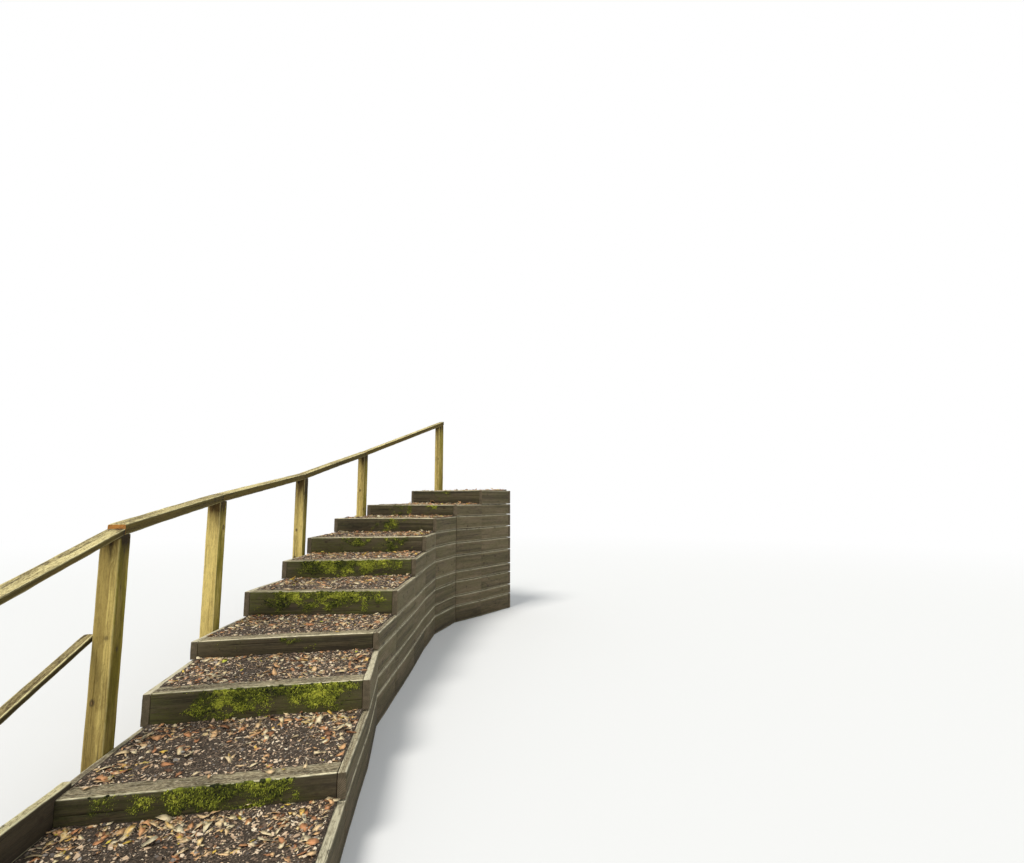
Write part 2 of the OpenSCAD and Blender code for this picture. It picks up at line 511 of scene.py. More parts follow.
@dataclass
class Timber:
    """One straight weathered timber.

    Damp fades over wet_reach above the height wet_level. Below the upper end the timber darkens
    over a reach of its own, partly as rain stain and partly as painted shadow under the rail. tone
    makes it lighter or darker than its finish, and end_finish numbers the finish of each end.
    """

    frame: TimberFrame
    weather: Weathering
    seed: int
    wet_level: float = 0.0
    wet_reach: float = 0.2
    stain_and_shadow_reach: float = 1e-6
    tone: float = 0.0
    end_finish: tuple[int, int] = (1, 1)

    def splits(self, outline: Outline, rng: np.random.Generator) -> list[tuple[float, ...]]:
        """Chooses the drying splits, on faces that are drawn from a shuffled pack.

        Args:
            outline: the timber's outline.
            rng: the timber's own random numbers.

        Returns:
            For each split its place round the outline, its middle along the grain, half its
            length, half its width and its depth.
        """
        weather, half_run = self.weather, self.frame.half_run
        found = []
        for face in rng.permutation(np.tile(np.arange(4), weather.splits))[:weather.splits]:
            start, end = outline.straights()[face]
            margin = 0.15 * (end - start)
            found.append((rng.uniform(start + margin, end - margin),
                          rng.uniform(-0.9, 0.9) * half_run, rng.uniform(*weather.split_length),
                          rng.uniform(*weather.split_width),
                          weather.split_depth * rng.uniform(0.5, 1.0)))
        return found

    def shape(self) -> Shape:
        """Works out the timber's surface.

        A point is a function of t, from one end to the other, and w, the distance gone round the
        outline: the outline's place at w, pushed in along its normal by the wear of the corners
        and ends, the relief of the grain and the splits, at the run (1 - t) lower(w) + t upper(w).
        A split is a furrow of depth e^-(distance / half width)^2, times 1 - s^2 at the share s of
        half its length. The whole section is shifted by bow sin(pi t). Rings of the outline, drawn
        in towards its middle, close the ends.

        Returns:
            The shape, with its ends finished as end_finish says.
        """
        rng = np.random.default_rng(self.seed)
        frame, weather = self.frame, self.weather
        outline = Outline(frame.half, min(weather.radius, 0.45 * float(frame.half.min())))
        splits = self.splits(outline, rng)
        extra = np.array([s[0] + k * s[3] for s in splits for k in (-1.6, -0.7, 0.0, 0.7, 1.6)])
        gone = outline.columns(weather.step_round, weather.arc_steps, extra)
        place, normal = outline.read(gone)
        lower, upper = frame.reach(place, End.LOWER), frame.reach(place, End.UPPER)
        length = float((upper - lower).mean())
        ends = np.array([0.0, 0.25, 1.0]) * weather.end_band / length
        inner = np.linspace(ends[-1], 1 - ends[-1], max(3, math.ceil(length / weather.step_along)))
        t = np.concatenate([ends[:-1], inner, 1 - ends[-2::-1]])[:, None]
        run = (1 - t) * lower + t * upper
        round_way = np.broadcast_to(gone, run.shape)

        near_end = np.minimum(t, 1 - t) * length
        corner = outline.corner(gone, weather.corner_spread)
        ragged = noise(stacked(run * 14, round_way * 20, 0.0), self.seed)
        slow = noise(stacked(run * 2.2, round_way * 9, 3.0), self.seed + 1, 2)
        ridges = noise(stacked(run * 1.8, round_way * 55, 7.0), self.seed + 2, 2)
        inward = (weather.least_inset + weather.wear * corner * (0.55 + 0.45 * ragged)
                  + weather.relief * (1.0 + 0.5 * slow + 0.5 * ridges)
                  + weather.end_wear * np.exp(-near_end / weather.end_spread) * (1 + 0.3 * ragged))
        for where, middle, half_length, half_width, depth in splits:
            taper = np.clip(1 - ((run - middle) / half_length) ** 2, 0, 1)
            inward = inward + depth * taper * np.exp(-((round_way - where) / half_width) ** 2)
        section = place - inward[..., None] * normal
        bow = weather.bow * rng.uniform(-1, 1, 2) * np.sin(np.pi * t)
        section = section + bow[:, None]

        caps = [self.cap(section[row], place, end)
                for row, end in ((0, End.LOWER), (-1, End.UPPER))]
        return self.assembled(section, run, normal, corner, caps, rng)

    def cap(self, rim: np.ndarray, place: np.ndarray, end: End) -> tuple[np.ndarray, np.ndarray]:
        """Rings inside one end's rim, the last being one point in the middle.

        Args:
            rim: the end's outermost points in the section.
            place: the outline that they were worn from.
            end: the end.

        Returns:
            Sections and runs of all points.
        """
        shares = self.weather.end_rings
        sections = [rim * share for share in shares] + [rim.mean(axis=0, keepdims=True)]
        runs = [self.frame.reach(place * share, end) for share in shares]
        runs.append(self.frame.reach(np.zeros((1, 2)), end))
        return np.concatenate(sections), np.concatenate(runs)

    def assembled(self, section: np.ndarray, run: np.ndarray, normal: np.ndarray,
                  corner: np.ndarray, caps: list[tuple[np.ndarray, np.ndarray]],
                  rng: np.random.Generator) -> Shape:
        """Joins the sides and both ends to one closed surface with its marks.

        Args:
            section: places in the section, shape (rows, columns, 2).
            run: runs along the grain, shape (rows, columns).
            normal: outward normals of the columns, shape (columns, 2).
            corner: nearness of each column to a corner.
            caps: section and run of the points that close each end.
            rng: the timber's own random numbers.

        Returns:
            The shape. Its marks are grain (place in the log), wear (nearness to a corner), sky and
            shade (how far a face looks up, or to the shaded side), damp (nearness to the soil; on the
            knee rail it is painted shade), stain (nearness to the upper end, for rain stain and painted
            shadow under the rail), tone (how much lighter than the rest) and moss.
        """
        rows, columns = run.shape
        ring_count = len(self.weather.end_rings)
        all_section = np.concatenate([section.reshape(-1, 2)] + [c[0] for c in caps])
        all_run = np.concatenate([run.ravel()] + [c[1] for c in caps])
        points = self.frame.place(all_section, all_run)

        index = np.arange(rows * columns).reshape(rows, columns)
        onward = np.roll(index, -1, axis=1)
        quads = [np.stack([index[:-1], index[1:], onward[1:], onward[:-1]], axis=-1).reshape(-1, 4)]
        finish = [np.zeros(len(quads[0]), np.int32)]
        tris, tri_finish = [], []
        start = rows * columns
        for rim, end in ((index[0], End.LOWER), (index[-1], End.UPPER)):
            rings = start + np.arange(ring_count * columns).reshape(-1, columns)
            rings = np.concatenate([rim[None], rings])
            beside = np.roll(rings, -1, axis=1)
            faces = np.stack([rings[:-1], beside[:-1], beside[1:], rings[1:]], axis=-1).reshape(-1, 4)
            centre = np.full(columns, start + ring_count * columns)
            fan = np.stack([rings[-1], beside[-1], centre], axis=-1)
            turn = slice(None) if end is End.LOWER else slice(None, None, -1)
            quads.append(faces[:, turn])
            tris.append(fan[:, turn])
            finish.append(np.full(len(faces), self.end_finish[end.value], np.int32))
            tri_finish.append(np.full(len(fan), self.end_finish[end.value], np.int32))
            start += ring_count * columns + 1
        all_finish = np.concatenate(finish + tri_finish)

        def on_sides(values: np.ndarray) -> np.ndarray:
            """The columns' values in every row, and zero on the ends."""
            return np.concatenate([np.tile(values, rows), np.zeros(len(points) - rows * columns)])

        facing = normal[:, :1] * self.frame.side + normal[:, 1:] * self.frame.up
        height = points[:, 2] - self.wet_level
        below_top = np.maximum(all_run[:rows * columns].max() - all_run, 0.0)
        pith = rng.uniform(-0.12, 0.12, 2) + 0.03 * np.sign(rng.uniform(-1, 1, 2))
        marks = {
            "grain": np.concatenate([(all_run + rng.uniform(0, 40))[:, None],
                                     all_section + pith], axis=1),
            "wear": on_sides(corner),
            "sky": on_sides(facing[:, 2]),
            "shade": on_sides(LEAST_SHADE + (1 - LEAST_SHADE) * facing @ SHADED_WAY),
            # Darker below the upper end: partly rain stain, partly painted shadow under the rail.
            "stain": np.exp(-below_top / self.stain_and_shadow_reach),
            # Where wet_level is set high, as on the knee rail, this darkening is painted shade.
            "damp": np.exp(-np.maximum(height, 0.0) / self.wet_reach),
            "tone": np.full(len(points), self.tone),
            "moss": np.zeros(len(points)),
        }
        return Shape(points, np.concatenate(quads), np.concatenate(tris), all_finish,
                     all_finish == 0, marks)


class Nodes:
    """Adds shader nodes to a tree and joins them."""

    def __init__(self, tree: bpy.types.NodeTree) -> None:
        """Starts on an empty tree."""
        self.tree = tree
        tree.nodes.clear()

    def add(self, kind: str, inputs: dict[str | int, object] | None = None,
            **settings: object) -> bpy.types.Node:
        """A node of that kind.

        Args:
            kind: the node's type without ShaderNode.
            inputs: values or sockets for its inputs.
            settings: its own settings.

        Returns:
            The node.
        """
        node = self.tree.nodes.new(kind if kind.startswith("Node") else "ShaderNode" + kind)
        for key, value in settings.items():
            setattr(node, key, value)
        for key, value in (inputs or {}).items():
            self.feed(node.inputs[key], value)
        return node

    def feed(self, socket: bpy.types.NodeSocket, value: object) -> None:
        """Joins an input to another node's output, or gives it a value of its own.

        Args:
            socket: the input.
            value: an output, a number, a vector or a colour without its alpha.
        """
        if isinstance(value, bpy.types.NodeSocket):
            self.tree.links.new(value, socket)
        elif socket.type == "RGBA":
            socket.default_value = (*value, 1.0)
        else:
            socket.default_value = value

    def group(self, name: str, inputs: dict[str, object]) -> bpy.types.NodeOutputs:
        """Outputs of a shared node group that is given its inputs by name."""
        return self.add("Group", inputs, node_tree=bpy.data.node_groups[name]).outputs

    def math(self, operation: str, a: object, b: object = 0.0, clamp: bool = False) -> object:
        """Result of a Math node, held from 0 to 1 if clamp is set."""
        return self.add("Math", {0: a, 1: b}, operation=operation, use_clamp=clamp).outputs[0]

    def sum(self, a: object, b: object, clamp: bool = False) -> object:
        """The value a + b."""
        return self.math("ADD", a, b, clamp)

    def minus(self, a: object, b: object) -> object:
        """The value a - b."""
        return self.math("SUBTRACT", a, b)

    def times(self, a: object, b: object, clamp: bool = False) -> object:
        """The value a b."""
        return self.math("MULTIPLY", a, b, clamp)

    def weighted(self, *parts: tuple[object, float]) -> object:
        """Sum of values, each times its weight."""
        return reduce(self.sum, [self.times(value, weight) for value, weight in parts])

    def vector(self, operation: str, a: object, b: object) -> object:
        """Vector that a Vector Math node puts out."""
        return self.add("VectorMath", {0: a, 1: b}, operation=operation).outputs[0]

    def stretched(self, vector: object, scale: Triple) -> object:
        """A vector scaled along each axis."""
        return self.vector("MULTIPLY", vector, scale)

    def length(self, vector: object) -> object:
        """Length of a vector."""
        return self.add("VectorMath", {0: vector}, operation="LENGTH").outputs["Value"]

    def mix(self, share: object, a: object, b: object, blend: str = "MIX") -> object:
        """Colour a turned into colour b.

        Args:
            share: how much of b is taken, from 0 to 1.
            a: the first colour.
            b: the second colour.
            blend: how b works on a.

        Returns:
            The colour's output.
        """
        node = self.add("Mix", data_type="RGBA", blend_type=blend)
        colours = [s for s in node.inputs if s.type == "RGBA"]
        for socket, value in zip((node.inputs[0], *colours), (share, a, b)):
            self.feed(socket, value)
        return next(s for s in node.outputs if s.type == "RGBA")

    def toned(self, colour: object, tint: Triple) -> object:
        """A colour multiplied by a tint."""
        return self.mix(1.0, colour, tint, "MULTIPLY")

    def noise(self, vector: object, scale: float = 1.0, detail: float = 2.0,
              roughness: float = 0.5) -> object:
        """Value of a Noise texture, from 0 to 1."""
        return self.add("TexNoise", {"Vector": vector, "Scale": scale, "Detail": detail,
                                     "Roughness": roughness}).outputs[0]

    def drawn_out(self, grain: object, along: float, across: float, detail: float = 2.0,
                  roughness: float = 0.5) -> object:
        """Noise drawn out with the grain, from its scales along and across it."""
        return self.noise(self.stretched(grain, (along, across, across)), 1.0, detail, roughness)

    def between(self, value: object, low: float, high: float) -> object:
        """0 below low, 1 above high and smooth between them."""
        return self.add("MapRange", {0: value, 1: low, 2: high, 3: 0.0, 4: 1.0},
                        interpolation_type="SMOOTHSTEP").outputs[0]

    def fade(self, value: object, low: float, high: float) -> object:
        """1 below low, 0 above high and smooth between them."""
        return self.minus(1.0, self.between(value, low, high))

    def ramp(self, value: object, stops: Ramp) -> object:
        """Colour read from a ramp.

        Args:
            value: where the ramp is read, from 0 to 1.
            stops: its places and colours.

        Returns:
            The colour's output.
        """
        node = self.add("ValToRGB", {0: value})
        while len(node.color_ramp.elements) < len(stops):
            node.color_ramp.elements.new(1.0)
        for element, (place, colour) in zip(node.color_ramp.elements, stops):
            element.position = place
            element.color = (*colour, 1.0)
        return node.outputs[0]


class Surface(Nodes):
    """Nodes of a new material that has one Principled shader."""

    def __init__(self, name: str) -> None:
        """Makes the material with its shader and its output."""
        self.material = bpy.data.materials.new(name)
        self.material.use_nodes = True
        super().__init__(self.material.node_tree)
        self.shader = self.add("BsdfPrincipled")
        self.add("OutputMaterial", {"Surface": self.shader.outputs[0]})

    def mark(self, name: str, output: str = "Fac") -> object:
        """Value, or with output "Vector" the vector, of a mark that a shape carries."""
        return self.add("Attribute", attribute_name=name, attribute_type="GEOMETRY").outputs[output]

    def place(self) -> object:
        """Object coordinates."""
        return self.add("TexCoord").outputs["Object"]

    def finish(self, colour: object, roughness: object, specular: float, height: object,
               strength: float, distance: float) -> bpy.types.Material:
        """Feeds the shader.

        Args:
            colour: base colour.
            roughness: its value or output.
            specular: level of the reflections.
            height: relief that the bump reads, from 0 to about 1.
            strength: strength of the bump.
            distance: real height of the relief.

        Returns:
            The finished material.
        """
        bump = self.add("Bump", {"Strength": strength, "Distance": distance, "Height": height})
        for key, value in (("Base Color", colour), ("Roughness", roughness),
                           ("Specular IOR Level", specular), ("Normal", bump.outputs[0])):
            self.feed(self.shader.inputs[key], value)
        return self.material


def node_group(name: str, inputs: dict[str, str], outputs: dict[str, str]) -> Nodes:
    """Makes an empty node group with its sockets.

    Args:
        name: name of the group.
        inputs: names of its inputs with their types.
        outputs: names of its outputs with their types.

    Returns:
        The nodes of its tree.
    """
    tree = bpy.data.node_groups.new(name, "ShaderNodeTree")
    for direction, sockets in (("INPUT", inputs), ("OUTPUT", outputs)):
        for key, kind in sockets.items():
            tree.interface.new_socket(name=key, in_out=direction, socket_type="NodeSocket" + kind)
    return Nodes(tree)


def make_wood_grain() -> None:
    """Makes the group for the grain of a sawn log, which every timber shares.

    Grain is a place in the log with X along it. Rings are circles round the X axis, which bend
    round the knots and fade here and there, and bands, streaks, fibre and checks are noise drawn
    out along X. A knot is a ball round a random point, of which the sawn face shows a disc, and
    Rim is its dark edge.
    """
    parts = ("Rings", "Bands", "Streaks", "Fibre", "Checks", "Knots", "Rim")
    nodes = node_group("wood_grain", {"Grain": "Vector"}, dict.fromkeys(parts, "Float"))
    grain = nodes.add("NodeGroupInput").outputs[0]
    cells = nodes.stretched(grain, (2.6, 13.0, 13.0))
    nearest = nodes.add("TexVoronoi", {"Vector": cells, "Scale": 1.0}, feature="F1")
    from_knot = nodes.vector("SUBTRACT", cells, nearest.outputs["Position"])
    from_knot = nodes.stretched(from_knot, (0.27, 0.077, 0.077))
    away = nodes.sum(nodes.length(from_knot), nodes.times(nodes.noise(grain, 60.0), 0.006))
    knots = nodes.fade(away, 0.012, 0.016)
    rim = nodes.times(nodes.between(away, 0.009, 0.014), nodes.fade(away, 0.015, 0.022))
    push = nodes.fade(away, 0.0, 0.06)
    bent = nodes.add("VectorMath", {0: from_knot, "Scale": push}, operation="SCALE").outputs[0]
    bent = nodes.vector("ADD", nodes.stretched(grain, (0.12, 1.0, 1.0)),
                        nodes.stretched(bent, (0.3, 1.0, 1.0)))
    rings = nodes.add("TexWave", {"Vector": bent, "Scale": 27.0, "Distortion": 9.0, "Detail": 3.0,
                                  "Detail Scale": 0.5, "Detail Roughness": 0.55},
                      wave_type="RINGS", rings_direction="X").outputs["Fac"]
    clear = nodes.between(nodes.drawn_out(grain, 1.1, 12.0, 1.0), 0.38, 0.6)
    rings = nodes.minus(1.0, nodes.times(nodes.fade(rings, 0.0, 0.55), clear))
    bands = nodes.between(nodes.drawn_out(grain, 0.45, 20.0), 0.36, 0.64)
    streaks = nodes.drawn_out(grain, 1.3, 46.0, 3.0, 0.6)
    threads = nodes.drawn_out(grain, 9.0, 420.0, 2.0, 0.6)
    pits = nodes.drawn_out(grain, 70.0, 260.0, 2.0, 0.7)
    fibre = nodes.between(nodes.weighted((threads, 0.6), (pits, 0.4)), 0.32, 0.62)
    line = nodes.minus(nodes.drawn_out(grain, 0.8, 62.0, 1.0, 0.4), 0.5)
    open_here = nodes.between(nodes.drawn_out(grain, 2.1, 14.0, 1.0), 0.5, 0.62)
    checks = nodes.times(nodes.fade(nodes.math("ABSOLUTE", line), 0.004, 0.016), open_here)
    nodes.add("NodeGroupOutput", dict(zip(parts, (rings, bands, streaks, fibre, checks, knots, rim))))


def make_weather() -> None:
    """Makes the group for what sun, rain and algae do to a timber's colour.

    The sun bleaches what faces the sky in mottled patches, with pale and dark specks of lichen
    and dirt, and wears the corners pale. Algae grow on the shaded side, blotches darken all
    faces, damp darkens what is near the soil and paints shade on the knee rail, what a joint
    covers darkens as rain stain and as painted shadow under the rail, and a thin film of moss
    grows where Growth says so.
    """
    colours = dict.fromkeys(("Colour", "Bleached", "Worn", "Algae", "Moss"), "Color")
    values = dict.fromkeys(("Figure", "Wear", "Sky", "Shade", "Damp", "Stain", "Growth",
                            "Bleaching", "Greening"), "Float")
    nodes = node_group("weather", colours | {"Grain": "Vector"} | values, {"Colour": "Color"})
    given = nodes.add("NodeGroupInput").outputs
    grain = given["Grain"]
    patches = nodes.drawn_out(grain, 3.0, 14.0, 3.0, 0.6)
    mottle = nodes.drawn_out(grain, 15.0, 60.0, 4.0, 0.65)
    to_sky = nodes.math("MAXIMUM", given["Sky"])

    blotch = nodes.between(nodes.sum(patches, mottle), 0.80, 1.14)
    sun = nodes.times(to_sky, nodes.sum(0.25, nodes.times(blotch, 0.85)))
    bleached = nodes.mix(nodes.between(given["Figure"], 0.15, 0.75),
                         nodes.toned(given["Bleached"], (0.40, 0.35, 0.30)), given["Bleached"])
    colour = nodes.mix(nodes.times(sun, given["Bleaching"], True), given["Colour"], bleached)

    specks = nodes.drawn_out(grain, 48.0, 150.0, 3.0, 0.7)
    pale = nodes.times(nodes.between(specks, 0.53, 0.62), nodes.times(to_sky, 0.55))
    dark = nodes.times(nodes.fade(specks, 0.38, 0.50), nodes.times(to_sky, 0.75))
    colour = nodes.mix(nodes.times(pale, given["Bleaching"], True), colour, given["Worn"])
    colour = nodes.mix(dark, colour, nodes.toned(colour, (0.28, 0.24, 0.19)))

    patchy = nodes.sum(0.5, nodes.times(nodes.between(patches, 0.32, 0.6), 0.5))
    green = nodes.times(nodes.times(nodes.between(given["Shade"], 0.05, 0.85), patchy),
                        given["Greening"])
    algae = nodes.mix(nodes.between(given["Figure"], 0.1, 0.7),
                      nodes.toned(given["Algae"], (0.55, 0.52, 0.5)), given["Algae"])
    colour = nodes.mix(nodes.math("MAXIMUM", green, clamp=True), colour, algae)

    blots = nodes.times(nodes.between(mottle, 0.47, 0.60), 0.38)
    colour = nodes.mix(blots, colour, nodes.toned(colour, (0.50, 0.45, 0.40)))
    # Damp darkening near the soil; on the knee rail it is painted shade.
    wet = nodes.times(given["Damp"], nodes.sum(0.5, nodes.times(patches, 0.7)))
    colour = nodes.mix(wet, colour, nodes.toned(colour, (0.30, 0.25, 0.20)))
    # Darker where a joint covers the upper end: partly rain stain, partly painted shadow under the
    # rail.
    runs = nodes.between(nodes.drawn_out(grain, 0.7, 24.0), 0.36, 0.6)
    stain = nodes.times(given["Stain"], nodes.sum(0.8, nodes.times(runs, 1.2)), True)
    colour = nodes.mix(stain, colour, nodes.toned(colour, (0.13, 0.10, 0.07)))

    uneven = nodes.sum(0.4, nodes.times(nodes.between(mottle, 0.38, 0.55), 0.6))
    rubbed = nodes.times(nodes.between(given["Wear"], 0.45, 0.9), uneven)
    rubbed = nodes.times(rubbed, nodes.between(given["Sky"], -0.35, 0.5))
    colour = nodes.mix(nodes.times(rubbed, given["Bleaching"]), colour, given["Worn"])
    flecks = nodes.between(nodes.drawn_out(grain, 22.0, 160.0, 2.0, 0.6), 0.25, 0.6)
    colour = nodes.mix(nodes.times(given["Growth"], flecks), colour, given["Moss"])
    nodes.add("NodeGroupOutput", {"Colour": colour})


@dataclass(frozen=True)
class TimberFinish:
    """A kind of weathered timber.

    body and late are the wood between and in its dark rings, bleached what the sun makes of it,
    worn its rubbed corners and algae its shaded side. bleaching and greening are the strengths of
    sun and algae, and bump is the height of the grain.
    """

    name: str
    body: Triple
    late: Triple
    bleached: Triple
    worn: Triple
    algae: Triple
    bleaching: float
    greening: float
    moss: Triple = (0.080, 0.088, 0.014)
    knot_edge: Triple = (0.035, 0.024, 0.014)
    crack: Triple = (0.02, 0.016, 0.012)
    bump: float = 0.0016

    def material(self) -> bpy.types.Material:
        """Material of the long faces."""
        nodes = Surface(self.name)
        grain = nodes.mark("grain", "Vector")
        wood = nodes.group("wood_grain", {"Grain": grain})
        figure = nodes.weighted((wood["Streaks"], 0.62), (wood["Bands"], 0.36), (wood["Rings"], 0.18))
        figure = nodes.sum(figure, nodes.mark("tone"))
        colour = nodes.mix(nodes.between(figure, 0.3, 0.9), self.late, self.body)
        knot = tuple(share * part for share, part in zip((0.55, 0.42, 0.42), self.body))
        colour = nodes.mix(nodes.times(wood["Knots"], 0.7), colour, knot)
        marks = {key: nodes.mark(key.lower()) for key in ("Wear", "Sky", "Shade", "Damp", "Stain")}
        colour = nodes.group("weather", marks | {
            "Colour": colour, "Bleached": self.bleached, "Worn": self.worn, "Algae": self.algae,
            "Moss": self.moss, "Growth": nodes.mark("moss"), "Grain": grain, "Figure": figure,
            "Bleaching": self.bleaching, "Greening": self.greening})[0]
        lit = nodes.sum(0.66, nodes.times(wood["Fibre"], 0.48))
        colour = nodes.mix(lit, (0.0, 0.0, 0.0), colour)
        colour = nodes.mix(nodes.weighted((wood["Rim"], 0.55), (wood["Knots"], 0.35)), colour,
                           self.knot_edge)
        colour = nodes.mix(nodes.times(wood["Checks"], 0.8), colour, self.crack)
        height = nodes.weighted((wood["Fibre"], 0.4), (wood["Streaks"], 0.7), (wood["Rings"], 0.16))
        height = nodes.minus(height, nodes.times(wood["Checks"], 1.2))
        roughness = nodes.sum(0.78, nodes.times(wood["Streaks"], 0.2))
        return nodes.finish(colour, roughness, 0.25, height, 0.9, self.bump)


@dataclass(frozen=True)
class EndFinish:
    """A sawn end: rings between early and late wood, stained by damp, with dark pores."""

    name: str
    early: Triple
    late: Triple
    stain: Triple
    staining: float
    pore: Triple = (0.03, 0.022, 0.015)

    def material(self) -> bpy.types.Material:
        """Material of the sawn ends."""
        nodes = Surface(self.name)
        grain = nodes.stretched(nodes.mark("grain", "Vector"), (0.02, 1.0, 1.0))
        rings = nodes.add("TexWave", {"Vector": grain, "Scale": 46.0, "Distortion": 1.5,
                                      "Detail": 2.0, "Detail Scale": 0.6},
                          wave_type="RINGS", rings_direction="X").outputs["Fac"]
        pores = nodes.noise(grain, 380.0)
        stained = nodes.times(nodes.between(nodes.noise(grain, 28.0, 3.0), 0.3, 0.65), self.staining)
        colour = nodes.mix(nodes.between(rings, 0.25, 0.85), self.early, self.late)
        colour = nodes.mix(stained, colour, self.stain)
        colour = nodes.mix(nodes.times(nodes.between(pores, 0.5, 0.75), 0.35), colour, self.pore)
        height = nodes.sum(nodes.times(rings, 0.5), pores)
        return nodes.finish(colour, 0.9, 0.2, height, 0.7, 0.001)


@dataclass(frozen=True)
class SoilFinish:
    """Trodden soil and fine gravel: dark earth with crumbs and with flakes of many browns."""

    name: str
    earth: Triple
    crumb: Triple
    flakes: Ramp

    def material(self) -> bpy.types.Material:
        """Material of the treads."""
        nodes = Surface(self.name)
        place = nodes.place()
        clods = nodes.noise(place, 24.0, 4.0, 0.65)
        crumbs = nodes.noise(place, 130.0, 3.0, 0.7)
        warped = nodes.vector("ADD", place, nodes.stretched(crumbs, (0.006, 0.006, 0.006)))
        cells = nodes.add("TexVoronoi", {"Vector": warped, "Scale": 85.0}, feature="F1").outputs
        pick = nodes.add("SeparateColor", {0: cells["Color"]}).outputs
        flake = nodes.times(nodes.between(pick[1], 0.40, 0.44),
                            nodes.fade(cells["Distance"], 0.28, 0.42))
        colour = nodes.mix(nodes.between(crumbs, 0.35, 0.7), self.earth, self.crumb)
        colour = nodes.mix(flake, colour, nodes.ramp(pick[0], self.flakes))
        colour = nodes.mix(nodes.between(clods, 0.42, 0.7), colour,
                           nodes.toned(colour, (0.55, 0.52, 0.5)))
        height = nodes.sum(nodes.sum(clods, nodes.times(crumbs, 0.5)), nodes.times(flake, 0.35))
        return nodes.finish(colour, 0.95, 0.2, height, 1.0, 0.006)


@dataclass(frozen=True)
class TintedFinish:
    """Small loose things, each with its own tint from a ramp of colours.

    mottle is how far spots of mottle_scale a metre change the tint within a thing, and bump is
    the height of those spots.
    """

    name: str
    tones: Ramp
    mottle: float
    mottle_scale: float
    roughness: float
    bump: float

    def material(self) -> bpy.types.Material:
        """Material read from the tint mark."""
        nodes = Surface(self.name)
        spots = nodes.noise(nodes.place(), self.mottle_scale, 3.0, 0.6)
        uneven = nodes.times(nodes.minus(spots, 0.5), self.mottle)
        tint = nodes.sum(nodes.mark("tint"), uneven, True)
        return nodes.finish(nodes.ramp(tint, self.tones), self.roughness, 0.3, spots, 0.6, self.bump)


